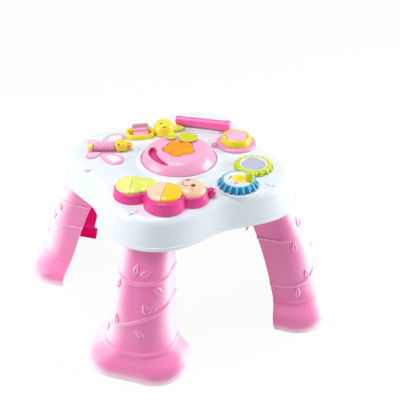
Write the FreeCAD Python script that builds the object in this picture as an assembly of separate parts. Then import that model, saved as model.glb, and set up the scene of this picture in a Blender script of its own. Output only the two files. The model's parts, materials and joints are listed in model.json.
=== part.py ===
import FreeCAD, Part
import math
import os

# Musical activity table, rebuilt as separate mouldings.
# Millimetres, +Z up, origin on the floor under the middle of the table.
# The four legs stand on the diagonals and the inchworm keys face -Y and -X.

V = FreeCAD.Vector

# Table top
deck_z = 255.4            # top of the playing deck
skirt_height = 48.2
rim_z = deck_z - skirt_height
rim_radius = 180.0        # mean radius of the lobed rim
lobe_swing = 0.1215       # how far the four lobes stand out, as a share of the mean radius
lobe_sharpness = 0.0057
deck_share = 0.93         # draft of the skirt, deck outline over rim outline
outline_points = 24
top_wall = 2.6
shoulder_radius = 16.0
bend_share = 0.6          # of the shoulder's drop and inset, at the inside's middle corner
bead_height = 5.0
bead_proud = 1.6
collar_width = 4.0
collar_height = 4.2
collar_chamfer = 2.4
seat_width = 3.6          # raised ring that the dial sits in
seat_height = 1.6
seat_gap = 1.2
motif_petals = 5
motif_height = 0.9

# Small flowers raised on the deck: centre, distance of the petals and their radius
motifs = [
    ((-136.0, -106.0), 5.4, 3.4),
    ((96.0, -138.0), 4.8, 3.0),
    ((-71.0, 51.0), 4.8, 3.0),
    ((-146.0, 45.0), 4.8, 3.0),
]

# Legs, all at the radial and tangential sizes of one leg
leg_wall = 2.6
leg_sink = 10.8           # of the legs' tops above the rim
leg_top_z = rim_z + leg_sink
leg_mid_z = 120.0
ankle_z = 44.0
foot_mid_z = 13.0
leg_out_top, leg_out_mid, leg_out_ankle = 184.5, 231.5, 257.0
leg_in_top, leg_in_mid, leg_in_ankle, leg_in_floor = 122.0, 163.0, 185.5, 196.0
leg_half_top, leg_half_mid, leg_half_ankle = 34.5, 45.0, 57.5
foot_out_floor, foot_out_mid, foot_out_high, foot_out_neck = 272.0, 274.0, 270.0, 263.5
foot_half_floor, foot_half_mid, foot_half_high, foot_half_neck = 80.0, 84.5, 79.5, 69.0
foot_high_z = 27.0
foot_neck_z = 36.0
column_roundness = 0.86   # corner radius over half width on the column
foot_roundness = 0.62
vine_proud = 2.4
vine_width = 5.2
leaf_proud = 2.0
leaf_length = 17.0
leaf_width = 9.5
tongue_height = 17.0
tongue_depth = 24.0
tongue_width = 44.0
tongue_out = 176.0        # outer face of the tongue, from the table's middle

# Leaves on the vines: height, turn round the column in degrees, lean in degrees
leaf_places = [
    (172.0, -5.0, -10.0),
    (168.0, 17.0, -62.0),
    (142.0, -47.0, -20.0),
    (142.0, 46.0, 42.0),
    (117.0, 23.0, 28.0),
    (117.0, 37.0, -30.0),
    (91.0, -35.0, 10.0),
    (80.0, 14.0, 50.0),
    (64.0, -60.0, -10.0),
]

# Vines on the column: height at its front and slope in degrees across it
vine_places = [(46.0, 0.0), (94.0, 25.0), (154.0, 0.0)]

# Underside
cover_thickness = 2.6
cover_lip = 9.0
part_gap = 0.3            # between mouldings that sit beside each other
run_gap = 0.06            # radial running clearance of a shaft
socket_wall = 2.4
post_radius = 4.5
post_ring = 138.0
post_angles = [0, 90, 180, 270]
post_ring_lobe = 96.0
screw_head_radius = 3.4
screw_radius = 1.6
screw_length = 14.0

# Battery bay under the back of the table
battery_radius = 7.2
battery_length = 50.0
battery_count = 3
battery_pitch = 2 * battery_radius + 0.6
bay_y = 84.0
bay_wall = 2.0
cell_lift = 2.0           # of the cells over the underside
door_margin = 5.0
door_tab = 10.0           # of the door past the bay at its two ends
door_thickness = 1.6
door_screw_length = 9.0
cell_room = 10.0          # of the bay past the cells, for the contacts
nub_radius, nub_length = 2.6, 1.5
contact_thickness = 0.8
contact_size = 2 * battery_radius - 3.4
coil_radius = 5.0
coil_tip_radius = 3.3

# Spinner dome
dome_radius = 62.7
dome_gap = 1.6            # ring gap to the collar
dome_lift = 0.8           # under the edge of the dome
dome_wall = 2.2
crest_radius = dome_radius - 22.7
crest_height = 22.6       # above the deck
crater_radius = crest_radius - 13.0
crater_height = 16.0
groove_radius = crest_radius + 3.5       # middle of the finger groove
groove_width = 13.0
groove_depth = 6.5
groove_from, groove_to = 146.0, 222.0
groove_wall = 1.6
groove_wall_turn = 5.0    # degrees that its wall goes past each end
dome_ribs = 6
rib_thickness = 1.8
dome_shaft_radius = 9.0
dome_shaft_bore = 4.2
dome_shaft_end = deck_z - 18.4
boss_wall = 3.0
boss_depth = 10.8
clip_height = 2.0
clip_width = 4.0
clip_play = 0.05
groove_clip_depth = 1.2

# Flower button in the crater
petal_count = 5
flower_radius = 16.0      # ring on which the petals sit
petal_radius = 8.6
flower_core = 15.0
flower_height = 4.6
flower_lift = 3.2         # above the crater floor
flower_travel = 2.5
flower_stem = 4.1
leaf_tab_radius = 16.7
leaf_tab_centre = (29.0, 22.5)
leaf_tab_small = 8.5
leaf_tab_small_centre = (4.0, 36.5)
leaf_tab_thickness = 2.2
leaf_tab_height = 26.4    # above the deck

# Inchworm keyboard: lobe centre, base radius, base height, key radius and key crown
lobes = {
    "tail": {"at": (-115.0, -63.5), "radius": 31.0, "height": 16.0, "key": 25.6, "crown": 5.0},
    "body": {"at": (-84.0, -114.0), "radius": 33.5, "height": 21.5, "key": 28.2, "crown": 5.5},
    "head": {"at": (-40.0, -117.0), "radius": 28.0, "height": 14.5, "key": 23.4, "crown": 11.5},
}
split_angle = {"tail": 55.5, "body": 49.5}
key_gap = 0.7
lip_thickness = 2.6
flange_width = 1.6
flange_thickness = 1.5
flange_gap = 0.5
head_wall = 1.5
tall = 60.0               # cutters that clear everything above the deck
key_wall = 2.0
key_travel = 3.0
key_stem_radius = 3.0
stem_offset = 12.0
stem_clearance = 0.4
key_board_z = deck_z - 13.4
board_thickness = 1.6
pad_height = 6.0
pad_radius = 4.6
antenna_angles = {"long": -8.0, "short": 34.0}
antenna_reach = {"long": 9.0, "short": 6.0}
antenna_radius = 2.6
antenna_ball = {"long": 6.4, "short": 3.6}

# Dial and mirror wheel, meshed one to one
dial_at = (46.0, -116.0)
mirror_bearing = 35.2176  # from the dial, degrees
wheel_radius = 33.0
tooth_depth = 4.0
wheel_root = wheel_radius - tooth_depth
wheel_play = 0.42596      # tip of one wheel to the root of the other
wheel_teeth = 18
tooth_tip_half = 2.2      # degrees
tooth_root_half = 4.6     # degrees
wheel_lift = 0.8
wheel_tooth_height = 4.2
dial_height = 12.0
dial_top_radius = wheel_radius - 7.0
dial_face_radius = dial_top_radius - 2.6
dial_face_thickness = 1.4
peg_bearing = -40.426     # from the middle of the dial, degrees
peg_radius = 5.6
peg_margin = 0.0659       # from its side to the edge of the face
peg_height = 13.0         # above the face of the dial
peg_root_radius = 2.6     # where it goes through the face into the dial
peg_crown = 2.6
web_depth = 3.4           # underside of the dial's top, below its rim
face_sink = 0.1
mirror_height = 7.4
mirror_top_radius = wheel_root
mirror_radius = mirror_top_radius - 9.0
mirror_thickness = 1.2
mirror_recess = 2.4
wheel_shaft = 5.0
wheel_shaft_end = deck_z - 19.4
wheel_boss_depth = 11.0

# Ladybird drum
drum_clear = 0.2          # between the drum's head and the collar
drum_base_radius = 35.0
drum_base_height = 4.5
drum_head_offset = (-33.5, 9.0)
drum_head_radius = 8.0
drum_head_height = 8.0
drum_ring_bottom = 26.7
drum_ring_top = 20.8
drum_ring_height = 10.0
drum_button_radius = 18.6
drum_button_crown = 2.4
drum_travel = 3.0
drum_stem = 4.0

# Bird with paddle
bird_at = (-20.0, 109.0)
bird_angle = -16.0
tray_length = 46.0
tray_height = 7.0
tray_sink = 6.0
tray_wall = 2.2
tray_corner = 9.0
ear_thickness = 3.2
ear_half = 4.5
ear_gap = 0.5
axle_lift = 11.0
paddle_radius = 12.2
tray_depth = 2 * (paddle_radius + 4.3)
paddle_width = 28.0
paddle_vanes = 3
vane_thickness = 2.6
paddle_hub = 4.2
pin_radius = 1.5
pin_seat = 3.5
bird_head_radius = 18.0
bird_head_offset = 42.0
bird_head_height = 17.5
bird_brow = 5.0           # height of the head's widest ring
beak_blade = (8.0, 19.0, 11.0)          # turn round the head in degrees, length, width
wing_blade = (-62.0, 17.0, 13.0)
blade_height = 6.0
blade_bury = 4.5          # of the blades' inner ends, cut off by the head

# Bee with ribbed roller
bee_at = (-97.0, 89.0)
bee_angle = -27.6
roller_length = 35.0
roller_radius = 7.6
roller_rib = 0.9
roller_ribs = 7
roller_lift = 5.6
bee_tail_length = 9.0
bee_head_radius = 10.0
wing_thickness = 2.6
wing_big = (11.5, 37.0, 19.5, 9.0)      # along, across, tip radius, root across
wing_small = (-17.0, 26.0, 9.5, 8.0)
wing_root_radius = 4.0
wing_root_share = 0.75    # root over tip, along the body
pan_wall = 1.8
pan_sink = 6.0
pan_corner = 3.0

# Handset in its cradle
handset_at = (88.0, 77.0)
handset_angle = -45.0
handset_length = 98.0
handset_radius = 9.6
handset_flare = 11.4
handset_lift = 13.2
cup_offset = 37.0
cup_radius = 10.5
cradle_plate = 1.5
saddle_offset = 16.0
saddle_length = 14.0
saddle_height = 8.0

# Electronics
main_board_lift = 5.4     # over the cover
main_board = (84.0, 64.0)
board_corner = 3.0
chip_size, chip_height = 16.0, 1.8
switch_size = 6.0
foot_inset, foot_radius = 6.0, 2.5       # of the stand-offs under the board
speaker_at = (-84.0, 14.0)
speaker_radius = 20.0
speaker_height = 11.0
speaker_rim = 3.0
speaker_cap_radius = 8.0
magnet_radius = 10.5
cup_wall = 2.0            # round the speaker
cup_height = 5.0
slit_pitch = 4.6
slit_width = 1.8
switch_at = (70.0, 44.0)
switch_travel = 8.0
knob_length, knob_width, knob_height = 7.0, 4.0, 5.2
knob_proud = 1.6          # under the cover
plate_length, plate_width = 12.0, 9.0    # of the knob, over the cover
lead_radius = 1.1

# Leads from the main board, each through three points, with heights over the cover's underside
lead_runs = {
    "speaker": [(-40, 10, 11), (-58, 12, 15), (-74, 13, 15.2)],
    "bay": [(10, 30, 11), (12, 44, 16), (12, 56, 22)],
    "switch": [(38, 24, 11), (52, 34, 13), (62, 42, 10)],
    "keys": [(-34, -26, 11), (-52, -60, 16), (-66, -92, 23)],
}


def prism(x, y, z, low):
    """Box by its size and lowest corner."""
    return Part.makeBox(x, y, z, V(*low))


def cylinder(radius, z0, z1, at=(0.0, 0.0)):
    return Part.makeCylinder(radius, z1 - z0, V(at[0], at[1], z0))


def cone(r0, r1, z0, z1, at=(0.0, 0.0)):
    return Part.makeCone(r0, r1, z1 - z0, V(at[0], at[1], z0))


def rod(radius, length, lift):
    """Cylinder along X over the middle of its own place on the deck."""
    return Part.makeCylinder(radius, length, V(-length / 2, 0, deck_z + lift), V(1, 0, 0))


def tube(outer, inner, z0, z1, at=(0.0, 0.0)):
    return cylinder(outer, z0, z1, at).cut(cylinder(inner, z0, z1, at))


def fused(shapes):
    whole = shapes[0]
    for shape in shapes[1:]:
        whole = whole.fuse(shape)
    return whole.removeSplitter()


def without(shape, tools):
    for tool in tools:
        shape = shape.cut(tool)
    return shape


def polygon(points, z):
    return Part.makePolygon([V(x, y, z) for x, y in points] + [V(points[0][0], points[0][1], z)])


def turned(profile, at=(0.0, 0.0)):
    """Solid of revolution from (radius, z) corners; a triple ("arc", middle, end) is a round stretch."""
    edges = []
    here = profile[0]
    for step in profile[1:] + [profile[0]]:
        start = V(here[0], 0, here[1])
        if step[0] == "arc":
            middle, end = step[1], step[2]
            edges.append(Part.Arc(start, V(middle[0], 0, middle[1]), V(end[0], 0, end[1])).toShape())
            here = end
        elif step != here:
            edges.append(Part.makeLine(start, V(step[0], 0, step[1])))
            here = step
    solid = Part.Face(Part.Wire(edges)).revolve(V(0, 0, 0), V(0, 0, 1), 360)
    solid.translate(V(at[0], at[1], 0))
    return solid


def placed(shape, at, angle):
    """The shape turned about Z and moved to its place on the deck."""
    shape.rotate(V(0, 0, 0), V(0, 0, 1), angle)
    shape.translate(V(at[0], at[1], 0))
    return shape


def stadium(length, width, z0, z1):
    """Upright slab with round ends, along X."""
    half = (length - width) / 2
    r = width / 2
    edges = [
        Part.makeLine(V(-half, -r, z0), V(half, -r, z0)),
        Part.Arc(V(half, -r, z0), V(half + r, 0, z0), V(half, r, z0)).toShape(),
        Part.makeLine(V(half, r, z0), V(-half, r, z0)),
        Part.Arc(V(-half, r, z0), V(-half - r, 0, z0), V(-half, -r, z0)).toShape(),
    ]
    return Part.Face(Part.Wire(edges)).extrude(V(0, 0, z1 - z0))


def rounded_box(length, width, corner, z0, z1):
    x, y, c = length / 2, width / 2, corner
    k = c * (1 - math.sqrt(0.5))
    edges = []
    for sx, sy in ((1, 1), (-1, 1), (-1, -1), (1, -1)):
        a, b = V(sx * x, sy * (y - c), z0), V(sx * (x - c), sy * y, z0)
        middle = V(sx * (x - k), sy * (y - k), z0)
        if sx * sy < 0:
            a, b = b, a
        edges.append(Part.Arc(a, middle, b).toShape())
    corners = list(edges)
    for i in range(len(corners)):
        end = corners[i].Vertexes[-1].Point
        start = corners[(i + 1) % len(corners)].Vertexes[0].Point
        edges.append(Part.makeLine(end, start))
    wire = Part.Wire(Part.__sortEdges__(edges))
    return Part.Face(wire).extrude(V(0, 0, z1 - z0))


def pan_slab(length, width, z0, z1):
    return rounded_box(length, width, pan_corner, z0, z1)


def crown_step(radius, z, crown):
    """Arc of a round cap from its top at the axis out to its edge at a radius and height."""
    bow = (radius * radius + crown * crown) / (2 * crown)
    half = 0.55 * radius
    drop = bow - math.sqrt(bow * bow - half * half)
    return ("arc", (half, z + crown - drop), (radius, z))


def outline_radius(angle):
    lobe = 4 * (angle - math.pi / 4)
    return rim_radius * (1 + lobe_swing * math.cos(lobe) - lobe_sharpness * math.cos(2 * lobe))


def outline(share, inset, z):
    """Closed outline of the table at a height, drawn in by an inset."""
    points = []
    for i in range(outline_points):
        angle = 2 * math.pi * i / outline_points
        r = outline_radius(angle) * share - inset
        points.append(V(r * math.cos(angle), r * math.sin(angle), z))
    curve = Part.BSplineCurve()
    curve.interpolate(Points=points, PeriodicFlag=True)
    return Part.Wire([curve.toShape()])


def skirt_share(z):
    """Draft of the skirt at a height."""
    return 1 - (1 - deck_share) * (z - rim_z) / (deck_z - rim_z)


def outlined(sections):
    """Solid through outlines given as (share, inset, z)."""
    return Part.makeLoft([outline(*s) for s in sections], True, True)


def gear_polygon(tip, root, phase):
    points = []
    for i in range(wheel_teeth):
        middle = phase + 360.0 * i / wheel_teeth
        corners = (
            (root, -tooth_root_half),
            (tip, -tooth_tip_half),
            (tip, tooth_tip_half),
            (root, tooth_root_half),
        )
        for r, turn in corners:
            a = math.radians(middle + turn)
            points.append((r * math.cos(a), r * math.sin(a)))
    return points


def gear_disc(levels, phase):
    """Ridged wheel through (tip radius, root radius, z) levels."""
    wires = [polygon(gear_polygon(tip, root, phase), z) for tip, root, z in levels]
    return Part.makeLoft(wires, True, True)


def offset_from(at, reach, bearing):
    a = math.radians(bearing)
    return (at[0] + reach * math.cos(a), at[1] + reach * math.sin(a))


def bearing_towards(a, b):
    return math.degrees(math.atan2(b[1] - a[1], b[0] - a[0]))


def key_points():
    """Stem positions of the keys, by key name."""
    points = {}
    for lobe, names in (("tail", ("key_yellow", "key_lime")), ("body", ("key_peach", "key_gold"))):
        across = math.radians(split_angle[lobe] - 90)
        x, y = lobes[lobe]["at"]
        for name, side in zip(names, (-1, 1)):
            reach = side * stem_offset
            points[name] = (x + reach * math.cos(across), y + reach * math.sin(across))
    points["face_key"] = lobes["head"]["at"]
    return points


def post_places():
    """Screw posts: four at the waists and four inside the lobes."""
    places = []
    for angle in post_angles:
        a = math.radians(angle)
        places.append((post_ring * math.cos(a), post_ring * math.sin(a)))
        b = math.radians(angle + 45)
        places.append((post_ring_lobe * math.cos(b), post_ring_lobe * math.sin(b)))
    return places


drum_x = dome_radius + dome_gap + collar_width + drum_clear + drum_head_radius - drum_head_offset[0]
drum_at = (drum_x, 0.0)
mirror_at = offset_from(dial_at, wheel_radius + wheel_root + wheel_play, mirror_bearing)

cover_z = leg_top_z
cover_top = cover_z + cover_thickness
deck_under = deck_z - top_wall


def bird_pan(grow):
    length = tray_length - 2 * tray_wall + 2 * grow
    depth = tray_depth - 2 * tray_wall + 2 * grow
    return length, depth


def bee_pan(grow):
    return roller_length + 6 + 2 * grow, 2 * (roller_radius + 2) + 2 * grow


def motif(at, reach, radius):
    """Raised flower: petals round a middle of the same size."""
    places = [at]
    for i in range(motif_petals):
        a = 2 * math.pi * i / motif_petals
        places.append((at[0] + reach * math.cos(a), at[1] + reach * math.sin(a)))
    return fused_plain([cylinder(radius, deck_under, deck_z + motif_height, p) for p in places])


def build_top_shell():
    outer = outlined([(1.0, 0, rim_z), (deck_share, 0, deck_z)])
    top_edges = [e for e in outer.Edges if min(v.Z for v in e.Vertexes) > deck_z - 0.01]
    outer = outer.makeFillet(shoulder_radius, top_edges)
    bead_share = skirt_share(rim_z + bead_height)
    bead = outlined([(1.0, -bead_proud, rim_z), (bead_share, -bead_proud, rim_z + bead_height)])
    low_z, bend_z = deck_z - shoulder_radius, deck_z - (1 - bend_share) * shoulder_radius
    bend_inset = top_wall + (1 - bend_share) * (shoulder_radius - top_wall) / 2
    inner = outlined([
        (1.0, top_wall, rim_z),
        (skirt_share(low_z), top_wall, low_z),
        (skirt_share(bend_z), bend_inset, bend_z),
        (deck_share, shoulder_radius - top_wall / 2, deck_under),
    ])
    pad_out = wheel_radius + seat_gap + seat_width
    pad = cylinder(pad_out, low_z, deck_z, dial_at)
    shell = outer.fuse([bead, pad]).cut(inner)

    seat = tube(pad_out, wheel_radius + seat_gap, deck_z, deck_z + seat_height, dial_at)
    shell = shell.fuse(seat.cut(cylinder(wheel_radius + seat_gap, deck_z, deck_z + tall, mirror_at)))
    shell = fused_plain([shell] + [motif(*place) for place in motifs])

    collar_in = dome_radius + dome_gap
    collar_out = collar_in + collar_width
    collar = cone(collar_out, collar_out - collar_chamfer, deck_z, deck_z + collar_height)
    shell = shell.fuse(collar.cut(cylinder(collar_in, deck_z, deck_z + collar_height)))

    posts = [cylinder(post_radius, cover_top, deck_under + 0.5, p) for p in post_places()]
    bosses = [cylinder(dome_shaft_radius + run_gap + boss_wall, deck_under - boss_depth, deck_under + 0.5)]
    for at in (dial_at, mirror_at):
        bosses.append(cylinder(wheel_shaft + boss_wall, deck_under - wheel_boss_depth, deck_under + 0.5, at))
    shell = fused([shell] + posts + bosses)

    holes = [cylinder(dome_shaft_radius + run_gap, cover_top, deck_z + 1)]
    for at in (dial_at, mirror_at):
        holes.append(cylinder(wheel_shaft + run_gap, cover_top, deck_z + 1, at))
    for at in key_points().values():
        holes.append(cylinder(key_stem_radius + stem_clearance, deck_under - 1, deck_z + 1, at))
    holes.append(cylinder(drum_stem + stem_clearance, deck_under - 1, deck_z + 1, drum_at))
    for at in post_places():
        holes.append(cylinder(screw_radius, cover_top, cover_top + screw_length, at))
    length, depth = bird_pan(part_gap)
    holes.append(placed(pan_slab(length, depth, deck_under - 1, deck_z + 1), bird_at, bird_angle))
    length, depth = bee_pan(part_gap)
    holes.append(placed(pan_slab(length, depth, deck_under - 1, deck_z + 1), bee_at, bee_angle))
    return without(shell, holes)


def leg_section(out, inner, half, corner, z):
    """Half-round outline of the leg, open side at the inner radius."""
    k = corner * (1 - math.sqrt(0.5))
    p = [
        V(inner, -half, z),
        V(out - corner, -half, z),
        V(out, -(half - corner), z),
        V(out, half - corner, z),
        V(out - corner, half, z),
        V(inner, half, z),
    ]
    edges = [
        Part.makeLine(p[0], p[1]),
        Part.Arc(p[1], V(out - k, -(half - k), z), p[2]).toShape(),
        Part.makeLine(p[2], p[3]),
        Part.Arc(p[3], V(out - k, half - k, z), p[4]).toShape(),
        Part.makeLine(p[4], p[5]),
        Part.makeLine(p[5], p[0]),
    ]
    return Part.Wire(edges)


def leg_body(inset, open_by):
    """Column and foot as one solid, drawn in by an inset and let out past the open side."""
    def wire(out, inner, half, roundness, z):
        corner = half * roundness
        return leg_section(out - inset, inner - open_by, half - inset, corner - inset, z)

    column = Part.makeLoft([
        wire(leg_out_ankle, leg_in_ankle, leg_half_ankle, column_roundness, ankle_z),
        wire(leg_out_mid, leg_in_mid, leg_half_mid, column_roundness, leg_mid_z),
        wire(leg_out_top, leg_in_top, leg_half_top, column_roundness, leg_top_z),
    ], True, True)
    foot = Part.makeLoft([
        wire(foot_out_floor, leg_in_floor, foot_half_floor, foot_roundness, 0),
        wire(foot_out_mid, leg_in_floor - 3, foot_half_mid, foot_roundness, foot_mid_z),
        wire(foot_out_high, leg_in_floor - 5, foot_half_high, foot_roundness, foot_high_z),
        wire(foot_out_neck, leg_in_floor - 8, foot_half_neck, foot_roundness, foot_neck_z),
        wire(leg_out_ankle, leg_in_ankle, leg_half_ankle, column_roundness, ankle_z),
    ], True, True)
    return column, foot


def build_leg():
    """One leg on the +X axis."""
    column, foot = leg_body(0, 0)
    column_in, foot_in = leg_body(leg_wall, 20)
    column_in = column_in.common(prism(400, 400, leg_top_z - leg_wall, (0, -200, 0)))

    proud, _ = leg_body(-vine_proud, 0)
    rings = []
    for z, slope in vine_places:
        slab = prism(400, 400, vine_width, (-200, -200, -vine_width / 2))
        slab.rotate(V(0, 0, 0), V(1, 0, 0), slope)
        slab.translate(V(0, 0, z))
        rings.append(slab)
    vines = proud.common(fused_plain(rings))

    leafy, _ = leg_body(-leaf_proud, 0)
    blanks = []
    for z, turn, lean in leaf_places:
        blanks.append(leaf_blank(z, turn, lean))
    leaves = leafy.common(fused_plain(blanks))

    leg = column.fuse(foot).fuse(vines).fuse(leaves)
    leg = leg.cut(column_in).cut(foot_in)

    tongue = prism(tongue_depth, tongue_width, tongue_height + leg_wall,
                   (tongue_out - tongue_depth, -tongue_width / 2, leg_top_z - leg_wall))
    hollow = prism(tongue_depth - 2 * leg_wall, tongue_width - 2 * leg_wall, tongue_height,
                   (tongue_out - tongue_depth + leg_wall, -tongue_width / 2 + leg_wall, leg_top_z))
    return leg.fuse(tongue.cut(hollow)).removeSplitter()


def fused_plain(shapes):
    whole = shapes[0]
    for shape in shapes[1:]:
        whole = whole.fuse(shape)
    return whole


def leaf_blank(z, turn, lean):
    """Lens-shaped rod that points out through the column's wall."""
    half, belly = leaf_length / 2, leaf_width / 2
    lens = Part.Wire([
        Part.Arc(V(0, 0, -half), V(0, belly, 0), V(0, 0, half)).toShape(),
        Part.Arc(V(0, 0, half), V(0, -belly, 0), V(0, 0, -half)).toShape(),
    ])
    blank = Part.Face(lens).extrude(V(2 * leg_half_mid, 0, 0))
    blank.rotate(V(0, 0, 0), V(1, 0, 0), lean)
    blank.rotate(V(0, 0, 0), V(0, 0, 1), turn)
    share = (z - ankle_z) / (leg_top_z - ankle_z)
    middle = leg_out_ankle + (leg_out_top - leg_out_ankle) * share - leg_half_mid
    blank.translate(V(middle, 0, z))
    return blank


def build_bottom_cover():
    plate = outlined([
        (skirt_share(cover_z), top_wall + part_gap, cover_z),
        (skirt_share(cover_top + cover_lip), top_wall + part_gap, cover_top + cover_lip),
    ])
    inside = outlined([
        (skirt_share(cover_top), 2 * top_wall + part_gap, cover_top),
        (skirt_share(cover_top + cover_lip + 1), 2 * top_wall + part_gap, cover_top + cover_lip + 1),
    ])
    cover = plate.cut(inside)

    sockets, slots = [], []
    for angle in (45, 135, 225, 315):
        grow = part_gap
        low = (tongue_out - tongue_depth - grow, -tongue_width / 2 - grow, cover_z - 1)
        slot = prism(tongue_depth + 2 * grow, tongue_width + 2 * grow, tongue_height + 6, low)
        wall = prism(tongue_depth + 2 * (grow + socket_wall), tongue_width + 2 * (grow + socket_wall),
                     tongue_height, (low[0] - socket_wall, low[1] - socket_wall, cover_z))
        for solid, group in ((slot, slots), (wall, sockets)):
            solid.rotate(V(0, 0, 0), V(0, 0, 1), angle)
            group.append(solid)

    length = battery_length + cell_room + 2 * bay_wall
    width = battery_count * battery_pitch + 2 + 2 * bay_wall
    depth = 2 * battery_radius + cell_lift + 1
    bay = prism(length, width, depth + bay_wall, (-length / 2, bay_y - width / 2, cover_z))
    bay_in = prism(length - 2 * bay_wall, width - 2 * bay_wall, depth + 1,
                   (-length / 2 + bay_wall, bay_y - width / 2 + bay_wall, cover_z - 1))
    cup_in = speaker_radius + part_gap
    cup = tube(cup_in + cup_wall, cup_in, cover_top - 1, cover_top + cup_height, speaker_at)
    boss = cylinder(post_radius, cover_top - 1, cover_z + door_screw_length + 2, door_screw_at())
    cover = fused([cover] + sockets + [bay, cup, boss])
    cuts = slots + [bay_in, door_blank(part_gap, cover_z - 1, cover_z + door_thickness)]
    cuts.append(cylinder(screw_radius, cover_z - 1, cover_z + door_screw_length + part_gap, door_screw_at()))
    for at in post_places():
        cuts.append(cylinder(screw_radius + 0.2, cover_z - 1, cover_top + 1, at))
        cuts.append(cylinder(screw_head_radius + 0.2, cover_z - 1, cover_z + 1.0, at))
    for i in range(-3, 4):
        y = slit_pitch * i
        reach = math.sqrt((speaker_radius - 4) ** 2 - y ** 2)
        slit_y = speaker_at[1] + y - slit_width / 2
        cuts.append(prism(2 * reach, slit_width, 6, (speaker_at[0] - reach, slit_y, cover_z - 1)))
    slot = prism(switch_travel + 8, 4.4, 8, (switch_at[0] - 8, switch_at[1] - 2.2, cover_z - 1))
    cuts.append(slot)
    return without(cover, cuts)


def door_blank(grow, z0, z1):
    length = battery_length + cell_room + 2 * door_tab + 2 * grow
    width = battery_count * battery_pitch + 2 * door_margin + 2 * grow
    door = rounded_box(length, width, 4, z0, z1)
    door.translate(V(0, bay_y, 0))
    return door


def build_battery_door():
    door = door_blank(0, cover_z, cover_z + door_thickness)
    cuts = []
    for i in range(5):
        cuts.append(prism(16, 1.4, 0.8, (-8, bay_y - 16 + 4 * i, cover_z - 0.2)))
    cuts.append(cylinder(screw_radius + part_gap, cover_z - 1, cover_z + 2, door_screw_at()))
    cuts.append(cylinder(screw_head_radius + part_gap, cover_z - 1, cover_z + 1, door_screw_at()))
    return without(door, cuts)


def door_screw_at():
    return ((battery_length + cell_room) / 2 + bay_wall + screw_head_radius + 1, bay_y)


def build_door_screw():
    return build_screw(door_screw_at(), cover_z + 0.1, door_screw_length)


def build_screw(at, z, length):
    head = cone(screw_head_radius - 0.8, screw_head_radius, z, z + 0.9, at)
    shank = cylinder(screw_radius, z + 0.9, z + length, at)
    return head.fuse(shank)


def build_shell_screws():
    length = cover_thickness + screw_length - 1
    return Part.makeCompound([build_screw(at, cover_z + 0.1, length) for at in post_places()])


def build_batteries():
    cells = []
    z = cover_z + cell_lift + battery_radius
    for i in range(battery_count):
        y = bay_y + (i - (battery_count - 1) / 2) * battery_pitch
        way = 1 if i % 2 == 0 else -1
        half = battery_length / 2
        long = battery_length - nub_length
        body = Part.makeCylinder(battery_radius, long, V(-way * half, y, z), V(way, 0, 0))
        nub = Part.makeCylinder(nub_radius, nub_length, V(way * (half - nub_length), y, z), V(way, 0, 0))
        cells.append(body.fuse(nub))
    return Part.makeCompound(cells)


def build_contacts():
    """Plates at both ends of the bay, each with a coil drawn as a short cone at the flat end of its cell."""
    pieces = []
    z = cover_z + cell_lift + battery_radius
    end = (battery_length + cell_room) / 2
    for i in range(battery_count):
        y = bay_y + (i - (battery_count - 1) / 2) * battery_pitch
        way = 1 if i % 2 == 0 else -1
        for side in (-1, 1):
            low_x = end - contact_thickness if side > 0 else -end
            low = (low_x, y - contact_size / 2, z - contact_size / 2)
            plate = prism(contact_thickness, contact_size, contact_size, low)
            reach = cell_room / 2 - contact_thickness
            foot = V(side * (end - contact_thickness), y, z)
            if side == -way:
                tip = Part.makeCone(coil_radius, coil_tip_radius, reach, foot, V(-side, 0, 0))
            else:
                tip = Part.makeCylinder(coil_tip_radius, reach, foot, V(-side, 0, 0))
            pieces.append(plate.fuse(tip))
    return Part.makeCompound(pieces)


def build_speaker():
    x, y = speaker_at
    z = cover_top
    cone_edge = speaker_radius - speaker_rim
    basket = turned([
        (0, z + 2.2), (speaker_cap_radius, z + 2.2), (cone_edge, z + 0.6), (cone_edge, z),
        (speaker_radius, z), (speaker_radius, z + 1.6), (magnet_radius, z + 6),
        (magnet_radius, z + speaker_height), (0, z + speaker_height),
    ])
    basket.translate(V(x, y, 0))
    return basket


def main_board_bottom():
    return cover_top + main_board_lift


def build_main_board():
    x, y = main_board
    low = main_board_bottom()
    top = low + board_thickness
    board = rounded_box(x, y, board_corner, low, top)
    chip = prism(chip_size, chip_size, chip_height, (chip_size, -1.5 * chip_size, top))
    half = switch_size / 2
    switch = prism(switch_size, switch_size, flower_switch_top() - top, (-half, -half, top))
    feet = []
    for sx in (-1, 1):
        for sy in (-1, 1):
            at = (sx * (x / 2 - foot_inset), sy * (y / 2 - foot_inset))
            feet.append(cylinder(foot_radius, cover_top, low, at))
    return fused([board, chip, switch] + feet)


def flower_switch_top():
    return flower_stem_end() - flower_travel - part_gap


def flower_stem_end():
    return dome_shaft_end + 1.0


def build_key_board():
    """Board under the inchworm, hung from the deck on five collars."""
    discs = []
    for lobe in lobes.values():
        discs.append(cylinder(lobe["key"] - 4, key_board_z, key_board_z + board_thickness, lobe["at"]))
    bars = []
    order = [lobes["tail"]["at"], lobes["body"]["at"], lobes["head"]["at"]]
    for a, b in zip(order, order[1:]):
        long = math.dist(a, b)
        bar = prism(long, 30, board_thickness, (0, -15, key_board_z))
        bars.append(placed(bar, a, bearing_towards(a, b)))
    return fused(discs + bars)


def build_key_pads():
    """Rubber caps on the key board, at their pressed height."""
    pads = []
    for at in key_points().values():
        pads.append(cone(pad_radius, pad_radius - 1.4, pad_bottom(), pad_bottom() + pad_height, at))
    return Part.makeCompound(pads)


def pad_bottom():
    return key_board_z + board_thickness


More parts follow.
